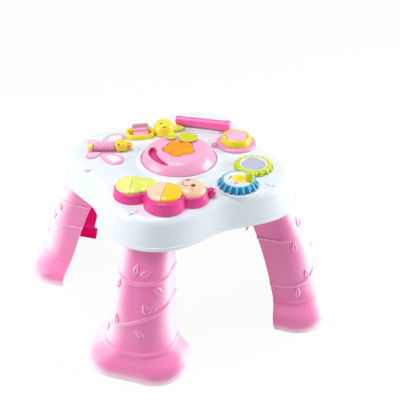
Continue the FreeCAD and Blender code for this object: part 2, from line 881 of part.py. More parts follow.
def build_board_posts():
    """Stand-offs from the deck to the key board, between the stems."""
    posts = []
    for lobe in lobes.values():
        x, y = lobe["at"]
        for side in (-1, 1):
            a = math.radians(52 if side > 0 else 232)
            at = (x + 15 * math.cos(a), y + 15 * math.sin(a))
            posts.append(cylinder(2.2, pad_bottom(), deck_under, at))
    return Part.makeCompound(posts)


def lobe_blank(lobe):
    """Bulging lobe of the inchworm."""
    r, top = lobe["radius"], deck_z + lobe["height"]
    return turned([
        (0, deck_z), (r - 2.2, deck_z), (r, deck_z + 0.45 * lobe["height"]),
        (r - 1.2, deck_z + 0.72 * lobe["height"]), (lobe["key"] + 3.0, top), (0, top),
    ], lobe["at"])


def cavity_radius(lobe):
    return lobe["key"] + flange_width + flange_gap


def head_wall_radius():
    """Outside of the wall that parts the head from the key beside it."""
    return cavity_radius(lobes["head"]) + head_wall


def build_inchworm_base():
    outer = fused([lobe_blank(lobe) for lobe in lobes.values()])
    tools = []
    for name, lobe in lobes.items():
        lip = deck_z + lobe["height"] - lip_thickness
        well = cylinder(cavity_radius(lobe), deck_z, lip, lobe["at"])
        well = well.fuse(cylinder(lobe["key"] + part_gap, lip, deck_z + tall, lobe["at"]))
        if name != "head":
            head = lobes["head"]
            well = well.cut(cylinder(head_wall_radius(), deck_z, deck_z + head["height"], head["at"]))
        tools.append(well)
    return without(outer, tools).fuse(fused(feelers())).removeSplitter()


def key_blank(lobe):
    """Cap of a whole lobe: crowned top, skirt and flange, hollow below."""
    r, crown = lobe["key"], lobe["crown"]
    seat = deck_z + lobe["height"]
    shoulder = seat + 2.2
    top = shoulder + crown
    flange_top = seat - lip_thickness - part_gap
    low = flange_top - flange_thickness
    inner_top = shoulder - 0.5
    return turned([
        (0, top), crown_step(r, shoulder, crown), (r, flange_top),
        (r + flange_width, flange_top), (r + flange_width, low), (r - key_wall, low),
        (r - key_wall, inner_top), (0, inner_top),
    ], lobe["at"])


def key_stem(name, lobe):
    at = key_points()[name]
    end = pad_bottom() + pad_height + key_travel + part_gap
    return cylinder(key_stem_radius, end, deck_z + lobe["height"] + 1.8, at)


def half_space(at, angle, side):
    """Big block on one side of the split line through a lobe."""
    low = key_gap / 2 if side > 0 else -100 - key_gap / 2
    block = prism(100, 200, 120, (low, -100, deck_z - 40))
    return placed(block, at, angle - 90)


def build_keys():
    keys = {}
    pairs = (
        ("key_yellow", "tail", -1),
        ("key_lime", "tail", 1),
        ("key_peach", "body", -1),
        ("key_gold", "body", 1),
    )
    head = lobes["head"]
    for name, lobe_name, side in pairs:
        lobe = lobes[lobe_name]
        cap = key_blank(lobe).common(half_space(lobe["at"], split_angle[lobe_name], side))
        if lobe_name == "body":
            cap = cap.cut(cylinder(head_wall_radius() + part_gap, deck_z - 5, deck_z + tall, head["at"]))
        keys[name] = cap.fuse(key_stem(name, lobe)).removeSplitter()
    keys["face_key"] = key_blank(head).fuse(key_stem("face_key", head)).removeSplitter()
    return keys


def feelers():
    """Two stalks with round ends on the crown of the head, moulded with the base."""
    x, y = lobes["head"]["at"]
    reach_from = lobes["head"]["radius"] - 1.6
    stalks = []
    for kind in ("long", "short"):
        a = math.radians(antenna_angles[kind])
        start = V(x + reach_from * math.cos(a), y + reach_from * math.sin(a), deck_z + antenna_ball[kind])
        stalk = Part.makeCylinder(antenna_radius, antenna_reach[kind], start, V(math.cos(a), math.sin(a), 0))
        end = start + V(math.cos(a), math.sin(a), 0) * antenna_reach[kind]
        ball = Part.makeSphere(antenna_ball[kind], end)
        stalks.append(stalk.fuse(ball))
    return stalks


def build_dome():
    edge_z = deck_z + dome_lift
    crest_z = deck_z + crest_height
    crater_z = deck_z + crater_height
    mid = (dome_radius - 6.5, deck_z + 0.62 * crest_height)
    outer = [
        (dome_radius, edge_z),
        (dome_radius, edge_z + 3.4),
        ("arc", mid, (crest_radius + 4, crest_z - 0.4)),
        ("arc", (crest_radius, crest_z), (crest_radius - 4, crest_z - 0.8)),
        (crater_radius, crater_z),
    ]
    solid = turned([(0, crater_z)] + reversed_profile(outer) + [(0, edge_z)])
    cavity = turned([
        (0, edge_z - 1), (dome_radius - dome_wall, edge_z - 1), (dome_radius - dome_wall, edge_z + 3.4),
        (mid[0] - dome_wall, mid[1] - dome_wall), (crest_radius + 4, crest_z - 2 * dome_wall),
        (crest_radius - 3, crest_z - 2.6 * dome_wall), (crater_radius, crater_z - dome_wall),
        (0, crater_z - dome_wall),
    ])
    kept = [groove_blank(groove_width / 2 + groove_wall, groove_depth + groove_wall, groove_wall_turn)]
    for i in range(dome_ribs):
        low = (dome_shaft_radius - 1, -rib_thickness / 2, deck_z + 2)
        rib = prism(dome_radius, rib_thickness, crest_height, low)
        rib.rotate(V(0, 0, 0), V(0, 0, 1), 360 / dome_ribs * i + 30)
        kept.append(rib)
    dome = solid.cut(without(cavity, kept))
    dome = dome.fuse(cylinder(dome_shaft_radius, dome_shaft_end, crater_z - dome_wall / 2))
    neck = tube(dome_shaft_radius + 1, dome_shaft_radius - groove_clip_depth,
                dome_shaft_end + 2, dome_shaft_end + 2 + clip_height)
    bore = cylinder(dome_shaft_bore, dome_shaft_end - 1, crater_z + 1)
    return without(dome, [neck, bore, groove_blank(groove_width / 2, groove_depth)]).removeSplitter()


def reversed_profile(profile):
    """The same profile walked from its other end."""
    points = [step if step[0] != "arc" else step[2] for step in profile]
    back = [points[-1]]
    for i in range(len(profile) - 1, 0, -1):
        step = profile[i]
        if step[0] == "arc":
            back.append(("arc", step[1], points[i - 1]))
        else:
            back.append(points[i - 1])
    return back


def groove_blank(half, depth, longer=0.0):
    """Crescent-shaped cutter of the finger groove, from above."""
    z0 = deck_z + crest_height - 3.2 - depth
    z1 = deck_z + crest_height + 8
    start, end = math.radians(groove_from - longer), math.radians(groove_to + longer)
    middle = (start + end) / 2

    def at(r, a, z):
        return V(r * math.cos(a), r * math.sin(a), z)

    tips = at(groove_radius, start, z0), at(groove_radius, end, z0)
    outside = Part.Arc(tips[0], at(groove_radius + half, middle, z0), tips[1])
    inside = Part.Arc(tips[1], at(groove_radius - half, middle, z0), tips[0])
    wire = Part.Wire([outside.toShape(), inside.toShape()])
    return Part.Face(wire).extrude(V(0, 0, z1 - z0))


def build_groove_insert():
    """Darker floor of the finger groove."""
    floor = groove_blank(groove_width / 2 - part_gap, groove_depth)
    z0 = deck_z + crest_height - 3.2 - groove_depth
    return floor.common(cylinder(dome_radius, z0, z0 + 1.2))


def build_flower():
    bottom = deck_z + crater_height + flower_lift
    top = bottom + flower_height
    petals = []
    for i in range(petal_count):
        a = math.radians(360 / petal_count * i + 18)
        at = (flower_radius * math.cos(a), flower_radius * math.sin(a))
        side_top = top - 1.6
        side = cone(petal_radius, petal_radius - 0.6, bottom, side_top, at)
        crown = cone(petal_radius - 0.6, petal_radius - 3.0, side_top, top - 0.4, at)
        petals.append(side.fuse(crown))
    core = cone(flower_core, flower_core - 5, bottom, top)
    stem = cylinder(flower_stem, flower_stem_end(), bottom + 1)
    return fused(petals + [core, stem])


def build_leaf_tabs():
    """Two round leaves that stand over the crater's edge, each on a short foot."""
    top = deck_z + leaf_tab_height
    pieces = []
    for at, r in ((leaf_tab_centre, leaf_tab_radius), (leaf_tab_small_centre, leaf_tab_small)):
        disc = cylinder(r - 0.8, top - leaf_tab_thickness, top, at)
        rim = cylinder(r, top - leaf_tab_thickness + 0.5, top - 0.5, at)
        distance = math.hypot(*at)
        foot_at = (at[0] * crest_radius / distance, at[1] * crest_radius / distance)
        foot = cylinder(2.4, deck_z + crest_height - 0.02, top - leaf_tab_thickness, foot_at)
        pieces.append(fused([disc, rim, foot]))
    return Part.makeCompound(pieces)


def build_clip(radius, z, at=(0.0, 0.0)):
    """Snap ring in a shaft's groove, open by a slot."""
    ring = tube(radius + clip_width, radius + clip_play, z, z + clip_height - clip_play, at)
    slot = prism(radius * 3, radius * 1.1, clip_height + 2, (at[0], at[1] - radius * 0.55, z - 1))
    return ring.cut(slot)


def wheel_phase(at, towards, gap):
    """First tooth, or with gap the first gap, on the line to the other wheel."""
    turn = bearing_towards(at, towards)
    return turn + (180.0 / wheel_teeth if gap else 0)


def wheel_shaft_solid(at, top):
    shaft = cylinder(wheel_shaft, wheel_shaft_end, top, at)
    neck = tube(wheel_shaft + 1, wheel_shaft - groove_clip_depth,
                wheel_shaft_end + 2, wheel_shaft_end + 2 + clip_height, at)
    return shaft.cut(neck)


def build_dial():
    z = deck_z + wheel_lift
    top = deck_z + dial_height
    phase = wheel_phase(dial_at, mirror_at, False)
    body = gear_disc([
        (wheel_radius, wheel_root, z),
        (wheel_radius, wheel_root, z + wheel_tooth_height),
        (dial_top_radius + 1.0, dial_top_radius - 0.6, top),
    ], phase)
    body.translate(V(dial_at[0], dial_at[1], 0))
    recess = cylinder(dial_face_radius + part_gap / 2, top - dial_face_thickness, top + 1, dial_at)
    hollow = cone(wheel_root - 3, dial_top_radius - 4, z, top - web_depth, dial_at)
    body = body.cut(recess).cut(hollow)
    body = body.cut(cylinder(peg_root_radius, z, top, peg_at()))
    return body.fuse(wheel_shaft_solid(dial_at, top - 2.5)).removeSplitter()


def peg_at():
    """The peg stands at the edge of the dial's face."""
    return offset_from(dial_at, dial_face_radius - peg_radius - peg_margin, peg_bearing)


def build_dial_peg():
    """Round-topped finger peg with a root that goes through the face."""
    top = face_top()
    x, y = peg_at()
    peg = turned([
        (0, top + peg_height), crown_step(peg_radius, top + peg_height - peg_crown, peg_crown),
        (peg_radius, top), (peg_root_radius, top), (peg_root_radius, deck_z + dial_height - web_depth),
        (0, deck_z + dial_height - web_depth),
    ])
    peg.translate(V(x, y, 0))
    return peg


def face_top():
    return deck_z + dial_height - face_sink


def build_dial_face():
    face = cylinder(dial_face_radius, deck_z + dial_height - dial_face_thickness, face_top(), dial_at)
    return face.cut(cylinder(peg_root_radius, deck_z, deck_z + tall, peg_at()))


def build_mirror_wheel():
    z = deck_z + wheel_lift
    top = deck_z + mirror_height
    phase = wheel_phase(mirror_at, dial_at, True)
    body = gear_disc([
        (wheel_radius, wheel_root, z),
        (wheel_radius, wheel_root, z + wheel_tooth_height),
        (mirror_top_radius, mirror_top_radius - 2, top),
    ], phase)
    body.translate(V(mirror_at[0], mirror_at[1], 0))
    seat = cylinder(mirror_radius + part_gap / 2, top - mirror_recess, top + 1, mirror_at)
    bevel = cone(mirror_radius, mirror_radius + 4, top - mirror_recess + 0.8, top + 1, mirror_at)
    body = body.cut(seat).cut(bevel)
    return body.fuse(wheel_shaft_solid(mirror_at, z + 1)).removeSplitter()


def build_mirror():
    top = deck_z + mirror_height - mirror_recess + mirror_thickness
    return cylinder(mirror_radius, top - mirror_thickness, top, mirror_at)


def build_drum_base():
    top = deck_z + drum_base_height
    x, y = drum_at
    head_at = (x + drum_head_offset[0], y + drum_head_offset[1])
    plate = cone(drum_base_radius, drum_base_radius - 1.6, deck_z, top, drum_at)
    head = cone(drum_head_radius, drum_head_radius - 2.5, deck_z, deck_z + drum_head_height, head_at)
    base = fused([plate, head])
    return base.cut(cylinder(drum_stem + stem_clearance, deck_z - 1, top + 1, drum_at))


def build_drum_ring():
    z = deck_z + drum_base_height
    top = z + drum_ring_height
    outer = cone(drum_ring_bottom, drum_ring_top, z, top, drum_at)
    inner = cylinder(drum_button_radius + part_gap, z, top, drum_at)
    return outer.cut(inner)


def build_drum_button():
    z = deck_z + drum_base_height
    low = z + drum_travel + part_gap
    rim = z + drum_ring_height + 0.6
    r, crown = drum_button_radius, drum_button_crown
    cap = turned([
        (0, rim + crown), crown_step(r, rim, crown), (r, low), (r - key_wall, low),
        (r - key_wall, rim - 1.2), (0, rim - 1.2),
    ], drum_at)
    stem_end = drum_switch_top() + drum_travel + part_gap
    return cap.fuse(cylinder(drum_stem, stem_end, rim - 0.5, drum_at)).removeSplitter()


def drum_switch_top():
    return deck_under - 4.6


def build_drum_board():
    """Small board on two stand-offs under the drum, with its switch."""
    x, y = drum_at
    top = drum_switch_top()
    board = prism(30, 18, board_thickness, (x - 15, y - 9, top - 3 - board_thickness))
    switch = prism(8, 8, 3, (x - 4, y - 4, top - 3))
    feet = [cylinder(2, top - 3, deck_under, (x + side * 12, y)) for side in (-1, 1)]
    return fused([board, switch] + feet)


def pan_with_floor(length, depth, sink):
    """Pan sunk through the deck, as its outer slab and the slab that hollows it."""
    z0 = deck_z - sink
    outer = pan_slab(length, depth, z0, deck_z + 0.5)
    inner = pan_slab(length - 2 * pan_wall, depth - 2 * pan_wall, z0 + pan_wall, deck_z + tall)
    return outer, inner


def build_bird_tray():
    outer, inner = pan_with_floor(*bird_pan(0), tray_sink)
    rim = rounded_box(tray_length, tray_depth, tray_corner, deck_z, deck_z + tray_height)
    ears = []
    foot_z = deck_z - tray_sink + pan_wall
    for side in (-1, 1):
        x = side * (paddle_width / 2 + ear_thickness / 2 + ear_gap)
        low = (x - ear_thickness / 2, -ear_half, foot_z)
        ear = prism(ear_thickness, 2 * ear_half, deck_z + axle_lift - foot_z, low)
        crown = Part.makeCylinder(ear_half, ear_thickness, V(low[0], 0, deck_z + axle_lift), V(1, 0, 0))
        ears.append(ear.fuse(crown))
    tray = fused([outer, rim]).cut(inner)
    tray = fused([tray] + ears)
    return placed(tray.cut(rod(pin_radius, 3 * tray_length, axle_lift)), bird_at, bird_angle)


def build_paddle_axle():
    length = paddle_width + 2 * (ear_thickness + ear_gap)
    return placed(rod(pin_radius, length, axle_lift), bird_at, bird_angle)


def build_paddle():
    z = deck_z + axle_lift
    hub = rod(paddle_hub, paddle_width, axle_lift)
    vanes = []
    for i in range(paddle_vanes):
        vane = rounded_box(paddle_width, paddle_radius, 2.4, -vane_thickness / 2, vane_thickness / 2)
        vane.rotate(V(0, 0, 0), V(1, 0, 0), 90)
        vane.translate(V(0, 0, paddle_radius / 2))
        vane.rotate(V(0, 0, 0), V(1, 0, 0), 360.0 / paddle_vanes * i)
        vane.translate(V(0, 0, z))
        vanes.append(vane)
    bore = rod(pin_radius + run_gap, paddle_width + 2, axle_lift)
    return placed(fused([hub] + vanes).cut(bore), bird_at, bird_angle)


def build_bird_head():
    """Round head, cut clear of the tray beside it."""
    r, h = bird_head_radius, bird_head_height
    brow = deck_z + bird_brow
    ball = turned([(0, deck_z + h), crown_step(r, brow, h - bird_brow), (r - 1.5, deck_z), (0, deck_z)])
    ball.translate(V(bird_head_offset, 0, 0))
    tail_cut = stadium(tray_length + 2 * part_gap, tray_depth + 2 * part_gap, deck_z - 1, deck_z + tall)
    return placed(ball.cut(tail_cut), bird_at, bird_angle)


def build_bird_beak():
    """Lime beak beside the head and a wing tip in front of it."""
    pieces = []
    for turn, long, wide in (beak_blade, wing_blade):
        a = math.radians(turn)
        blade = stadium(long, wide, deck_z, deck_z + blade_height)
        blade.rotate(V(0, 0, 0), V(0, 0, 1), turn)
        reach = bird_head_radius + long / 2 - blade_bury
        blade.translate(V(bird_head_offset + reach * math.cos(a), reach * math.sin(a), 0))
        head = cylinder(bird_head_radius + part_gap, deck_z - 1, deck_z + tall, (bird_head_offset, 0))
        pieces.append(placed(blade.cut(head), bird_at, bird_angle))
    return Part.makeCompound(pieces)


def wing(along, across, tip, root_across, side, z0, z1):
    """Teardrop wing: round tip outwards, narrow root at the body."""
    root = wing_root_radius
    root_along = along * wing_root_share
    dx, dy = along - root_along, across - root_across
    lean = math.atan2(dy, dx)
    spread = math.acos((root - tip) / math.hypot(dx, dy))
    corners = []
    for turn in (spread, -spread):
        way = math.degrees(lean + turn)
        corners.append(offset_from((root_along, root_across), root, way))
        corners.append(offset_from((along, across), tip, way))
    quad = [corners[0], corners[1], corners[3], corners[2]]
    web = Part.Face(polygon([(x, side * y) for x, y in quad], z0)).extrude(V(0, 0, z1 - z0))
    cap = cylinder(tip, z0, z1, (along, side * across))
    base = cylinder(root, z0, z1, (root_along, side * root_across))
    return fused([cap, base, web])


def build_bee_wings():
    z0, z1 = deck_z, deck_z + wing_thickness
    parts = []
    for side in (-1, 1):
        parts.append(wing(*wing_big, side, z0, z1))
        parts.append(wing(*wing_small, side, z0, z1))
    length, depth = bee_pan(0)
    saddle = rounded_box(length + 20, depth + 5, 6, z0, z1)
    outer, inner = pan_with_floor(length, depth, pan_sink)
    whole = fused(parts + [saddle, outer]).cut(inner)
    return placed(whole, bee_at, bee_angle)


def build_roller():
    z = deck_z + roller_lift
    r, rib = roller_radius, roller_rib
    pitch = roller_length / roller_ribs
    points = [(pin_radius + run_gap, 0)]
    for i in range(roller_ribs):
        x = i * pitch
        points += [(r - rib, x), (r, x + 0.22 * pitch), (r, x + 0.78 * pitch), (r - rib, x + pitch)]
    points.append((pin_radius + run_gap, roller_length))
    body = turned(points)
    body.rotate(V(0, 0, 0), V(0, 1, 0), 90)
    body.translate(V(-roller_length / 2, 0, z))
    return placed(body, bee_at, bee_angle)


def bee_pin():
    return rod(pin_radius, roller_length + 2 * pin_seat, roller_lift)


def build_bee_axle():
    return placed(bee_pin(), bee_at, bee_angle)


def bee_block(radius, length, side, cap):
    """Round-topped block that holds one end of the roller's axle."""
    x0 = side * (roller_length / 2 + part_gap)
    low = x0 if side > 0 else x0 - length
    z = deck_z + roller_lift
    round_part = Part.makeCylinder(radius, length, V(low, 0, z), V(1, 0, 0))
    if cap:
        ball = Part.makeSphere(radius + 0.8, V(low + (length if side > 0 else 0), 0, z))
        round_part = round_part.fuse(ball)
    box = prism(60, 60, 60, (x0 if side > 0 else x0 - 60, -30, deck_z + wing_thickness))
    return round_part.common(box).cut(bee_pin())


def build_bee_tail():
    return placed(bee_block(roller_radius, bee_tail_length, -1, False), bee_at, bee_angle)


def build_bee_head():
    return placed(bee_block(bee_head_radius - 1.2, 8.0, 1, True), bee_at, bee_angle)


def build_handset():
    z = deck_z + handset_lift
    half = handset_length / 2
    r, flare = handset_radius, handset_flare
    bar = turned([
        (0, -half), (flare - 2, -half), (flare, -half + 2), (flare, -half + 8), (r, -half + 13),
        (r, half - 13), (flare, half - 8), (flare, half - 2), (flare - 2, half), (0, half),
    ])
    bar.rotate(V(0, 0, 0), V(0, 1, 0), 90)
    bar.translate(V(0, 0, z))
    cups = []
    for side in (-1, 1):
        cups.append(cylinder(cup_radius, z - handset_flare, z, (side * cup_offset, 0)))
    return placed(fused([bar] + cups), handset_at, handset_angle)


def build_cradle():
    plate = stadium(handset_length + 2, 2 * handset_radius + 3, deck_z, deck_z + cradle_plate)
    z = deck_z + handset_lift
    walls = []
    for side in (-1, 1):
        low = (side * saddle_offset - saddle_length / 2, -handset_flare, deck_z)
        walls.append(prism(saddle_length, 2 * handset_flare, saddle_height, low))
    start = V(-handset_length, 0, z)
    channel = Part.makeCylinder(handset_radius + part_gap, 2 * handset_length, start, V(1, 0, 0))
    saddles = fused(walls).cut(channel)
    return placed(fused([plate, saddles]), handset_at, handset_angle)


def build_power_knob():
    x, y = switch_at
    knob_x = x - knob_length - 0.5
    knob = prism(knob_length, knob_width, knob_height, (knob_x, y - knob_width / 2, cover_z - knob_proud))
    plate_x = knob_x - (plate_length - knob_length) / 2
    plate = prism(plate_length, plate_width, 1.4, (plate_x, y - plate_width / 2, cover_top + 0.2))
    return fused([knob, plate])


def build_power_body():
    x, y = switch_at
    z0 = cover_top
    inner_width = plate_width + 0.8
    inner_length = plate_length + switch_travel + 5
    outer = prism(inner_length + 5, inner_width + 4.2, 6, (x - 14, y - inner_width / 2 - 2.1, z0))
    inner = prism(inner_length, inner_width, 2.4, (x - 11.5, y - inner_width / 2, z0 - 0.5))
    return outer.cut(inner)


def build_wiring():
    """Leads inside the housing, from the main board to the speaker, bay, switch and key board."""
    leads = []
    for points in lead_runs.values():
        a, b, c = [V(x, y, z + cover_z) for x, y, z in points]
        first = Part.makeCylinder(lead_radius, (b - a).Length, a, b - a)
        second = Part.makeCylinder(lead_radius, (c - b).Length, b, c - b)
        elbow = Part.makeSphere(lead_radius, b)
        leads.append(fused([first, second, elbow]))
    return Part.makeCompound(leads)


def write_all():
    nodes = {
        "top_shell": build_top_shell(),
        "bottom_cover": build_bottom_cover(),
        "shell_screws": build_shell_screws(),
        "battery_door": build_battery_door(),
        "door_screw": build_door_screw(),
        "batteries": build_batteries(),
        "battery_contacts": build_contacts(),
        "speaker": build_speaker(),
        "main_board": build_main_board(),
        "key_board": build_key_board(),
        "key_pads": build_key_pads(),
        "key_board_posts": build_board_posts(),
        "power_knob": build_power_knob(),
        "power_switch": build_power_body(),
        "wiring": build_wiring(),
        "inchworm_base": build_inchworm_base(),
        "spinner_dome": build_dome(),
        "groove_insert": build_groove_insert(),
        "leaf_tabs": build_leaf_tabs(),
        "flower_button": build_flower(),
        "dome_clip": build_clip(dome_shaft_radius - groove_clip_depth, dome_shaft_end + 2),
        "dial": build_dial(),
        "dial_face": build_dial_face(),
        "dial_peg": build_dial_peg(),
        "dial_clip": build_clip(wheel_shaft - groove_clip_depth, wheel_shaft_end + 2, dial_at),
        "mirror_wheel": build_mirror_wheel(),
        "mirror": build_mirror(),
        "mirror_clip": build_clip(wheel_shaft - groove_clip_depth, wheel_shaft_end + 2, mirror_at),
        "drum_base": build_drum_base(),
        "drum_ring": build_drum_ring(),
        "drum_button": build_drum_button(),
        "drum_board": build_drum_board(),
        "bird_tray": build_bird_tray(),
        "bird_head": build_bird_head(),
        "bird_beak": build_bird_beak(),
        "paddle": build_paddle(),
        "paddle_axle": build_paddle_axle(),
        "bee_wings": build_bee_wings(),
        "bee_tail": build_bee_tail(),
        "bee_head": build_bee_head(),
        "bee_roller": build_roller(),
        "bee_axle": build_bee_axle(),
        "handset": build_handset(),
        "handset_cradle": build_cradle(),
    }
    nodes.update(build_keys())
    blank = build_leg()
    for name, angle in (("back_right", 45), ("back_left", 135), ("front_left", 225), ("front_right", 315)):
        leg = blank.copy()
        leg.rotate(V(0, 0, 0), V(0, 0, 1), angle)
        nodes["leg_" + name] = leg
    os.makedirs("parts", exist_ok=True)
    for name, shape in nodes.items():
        print(name, len(shape.Solids), round(shape.Volume), shape.isValid())
        shape.exportStep("parts/" + name + ".step")


write_all()
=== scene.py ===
import math
import json
import bmesh
import bpy
import numpy as np
from mathutils import Matrix, Vector


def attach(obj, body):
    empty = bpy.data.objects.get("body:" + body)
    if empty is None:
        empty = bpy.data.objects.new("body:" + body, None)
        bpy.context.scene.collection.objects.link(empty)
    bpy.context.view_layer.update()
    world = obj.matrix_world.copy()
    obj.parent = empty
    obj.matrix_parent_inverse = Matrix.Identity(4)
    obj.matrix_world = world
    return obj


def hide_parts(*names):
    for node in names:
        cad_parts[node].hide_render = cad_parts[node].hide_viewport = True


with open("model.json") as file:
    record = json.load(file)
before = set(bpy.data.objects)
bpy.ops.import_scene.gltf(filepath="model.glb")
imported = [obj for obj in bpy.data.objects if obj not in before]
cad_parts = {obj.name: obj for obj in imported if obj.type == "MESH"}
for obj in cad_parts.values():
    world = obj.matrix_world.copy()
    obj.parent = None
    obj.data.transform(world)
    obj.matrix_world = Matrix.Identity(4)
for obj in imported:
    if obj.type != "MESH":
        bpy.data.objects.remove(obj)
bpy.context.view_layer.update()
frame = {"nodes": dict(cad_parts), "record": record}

nodes = frame["nodes"]
mm = 0.001
deckZ = 255.4             # top of the white deck, in mm like every size below
print("frame loaded:", len(nodes), "nodes")


# colour and shader nodes

def hexToLinear(code):
    values = []
    for start in (1, 3, 5):
        v = int(code[start:start + 2], 16) / 255
        values.append(v / 12.92 if v <= 0.04045 else ((v + 0.055) / 1.055) ** 2.4)
    return (*values, 1.0)


# settings are the node's own switches, links the values or sockets that go into it
def addNode(tree, kind, settings=None, links=None):
    made = tree.nodes.new(kind)
    for name, value in (settings or {}).items():
        setattr(made, name, value)
    for name, value in (links or {}).items():
        if isinstance(value, bpy.types.NodeSocket):
            tree.links.new(value, made.inputs[name])
        else:
            made.inputs[name].default_value = value
    return made


def newMaterial(name):
    made = bpy.data.materials.new(name)
    made.use_nodes = True
    tree = made.node_tree
    tree.nodes.clear()
    out = addNode(tree, "ShaderNodeOutputMaterial")
    return made, tree, out

# noise in the object's own space, its grain given in mm
def addNoise(tree, grainMm, detail, stretch=None):
    place = addNode(tree, "ShaderNodeTexCoord").outputs["Object"]
    if stretch:
        place = addNode(tree, "ShaderNodeMapping", None, {"Vector": place, "Scale": stretch}).outputs[0]
    made = addNode(tree, "ShaderNodeTexNoise", None,
                   {"Vector": place, "Scale": 1 / (grainMm * mm), "Detail": detail})
    return made.outputs["Fac"]


# gloss and a fine relief from one noise, then the shader and the output
def finishShader(field, glossRange, reliefMm, settings, tree, out):
    low, high = glossRange
    gloss = addNode(tree, "ShaderNodeMapRange", None, {"Value": field, "To Min": low, "To Max": high})
    bump = addNode(tree, "ShaderNodeBump", None, {"Height": field, "Distance": reliefMm * mm})
    shader = addNode(tree, "ShaderNodeBsdfPrincipled", None, {
        "Roughness": gloss.outputs["Result"], "Normal": bump.outputs["Normal"], **settings})
    tree.links.new(shader.outputs["BSDF"], out.inputs["Surface"])


def addMix(tree, share, first, second):
    made = addNode(tree, "ShaderNodeMix", {"data_type": "RGBA"}, {"Factor": share, 6: first, 7: second})
    return made.outputs[2]


# a moulded thermoplastic: faint cloudiness in the colour, the mould's fine texture in the gloss
def mouldedPlastic(name, code, finish):
    made, tree, out = newMaterial(name)
    base = hexToLinear(code)
    deep = tuple(c * (1 - finish["cloudDepth"]) for c in base[:3]) + (1.0,)
    colour = addMix(tree, addNoise(tree, finish["cloudMm"], 3.0), base, deep)
    if "edge" in finish:     # painted sheen: the colour turns paler where the surface turns away from the eye
        facing = addNode(tree, "ShaderNodeLayerWeight", None, {"Blend": 0.5})
        turned = addNode(tree, "ShaderNodeMapRange", {"interpolation_type": "SMOOTHSTEP"}, {
            "Value": facing.outputs["Facing"], "From Min": finish["edgeFrom"], "From Max": finish["edgeTo"]})
        colour = addMix(tree, turned.outputs["Result"], colour, hexToLinear(finish["edge"]))
    rough, swing = finish["roughness"], finish["roughnessSwing"]
    grain = addNoise(tree, finish["grainMm"], 2.0)
    finishShader(grain, (rough - swing, rough + swing), finish["grainDepthMm"], {
        "Base Color": colour, "IOR": finish["ior"],
        "Coat Weight": finish.get("coat", 0.0), "Coat Roughness": 0.08,
        # glow is painted light: an emission in the part's own colour, though the part is no lamp
        "Emission Color": base, "Emission Strength": finish.get("glow", 0.0),
    }, tree, out)
    return made


# Polished ABS: the toys and the white top, near mirror gloss that a very fine orange peel breaks up
polishedAbs = {"cloudMm": 60, "cloudDepth": 0.05, "grainMm": 1.6, "grainDepthMm": 0.012,
               "roughness": 0.24, "roughnessSwing": 0.04, "ior": 1.53, "coat": 0.25}
# Polypropylene from a bead-blasted mould: the legs, a soft broad sheen, partly painted into the colour as a
# paler pink at grazing angles
satinPolypropylene = {"cloudMm": 90, "cloudDepth": 0.06, "grainMm": 1.2, "grainDepthMm": 0.02,
                      "roughness": 0.33, "roughnessSwing": 0.05, "ior": 1.5, "coat": 0.1,
                      "edge": "#FFE8F5", "edgeFrom": 0.1, "edgeTo": 0.6}
# Clear tinted polystyrene: its glow is painted light, a faint emission that makes it shine a little by itself
clearStyrene = {"cloudMm": 25, "cloudDepth": 0.1, "grainMm": 3.0, "grainDepthMm": 0.01,
                "roughness": 0.3, "roughnessSwing": 0.03, "ior": 1.35, "glow": 0.06}
# Matt ABS inside and underneath, as it leaves an unpolished mould
mattAbs = {"cloudMm": 50, "cloudDepth": 0.06, "grainMm": 1.0, "grainDepthMm": 0.04,
           "roughness": 0.55, "roughnessSwing": 0.06, "ior": 1.53}
# Soft silicone and lead sleeves
softRubber = {"cloudMm": 20, "cloudDepth": 0.08, "grainMm": 0.8, "grainDepthMm": 0.03,
              "roughness": 0.65, "roughnessSwing": 0.05, "ior": 1.45}


# zinc-plated steel wire: fine drawn lines across the gloss
def brushedSteel(name, code, grooveMm, length=14.0):
    made, tree, out = newMaterial(name)
    lines = addNoise(tree, length * grooveMm, 4.0, (1.0, length, length))
    finishShader(lines, (0.22, 0.42), 0.01, {"Base Color": hexToLinear(code), "Metallic": 1.0}, tree, out)
    return made


# child-safe mirror: a silvered acrylic sheet that waves a little, so what it shows is soft; as it is only
# partly metallic, its grey-violet colour is partly a painted reflection
def silveredAcrylic(name, code, waveMm):
    made, tree, out = newMaterial(name)
    wave = addNoise(tree, waveMm, 1.0)
    finishShader(wave, (0.08, 0.16), 0.12, {"Base Color": hexToLinear(code), "Metallic": 0.4}, tree, out)
    return made


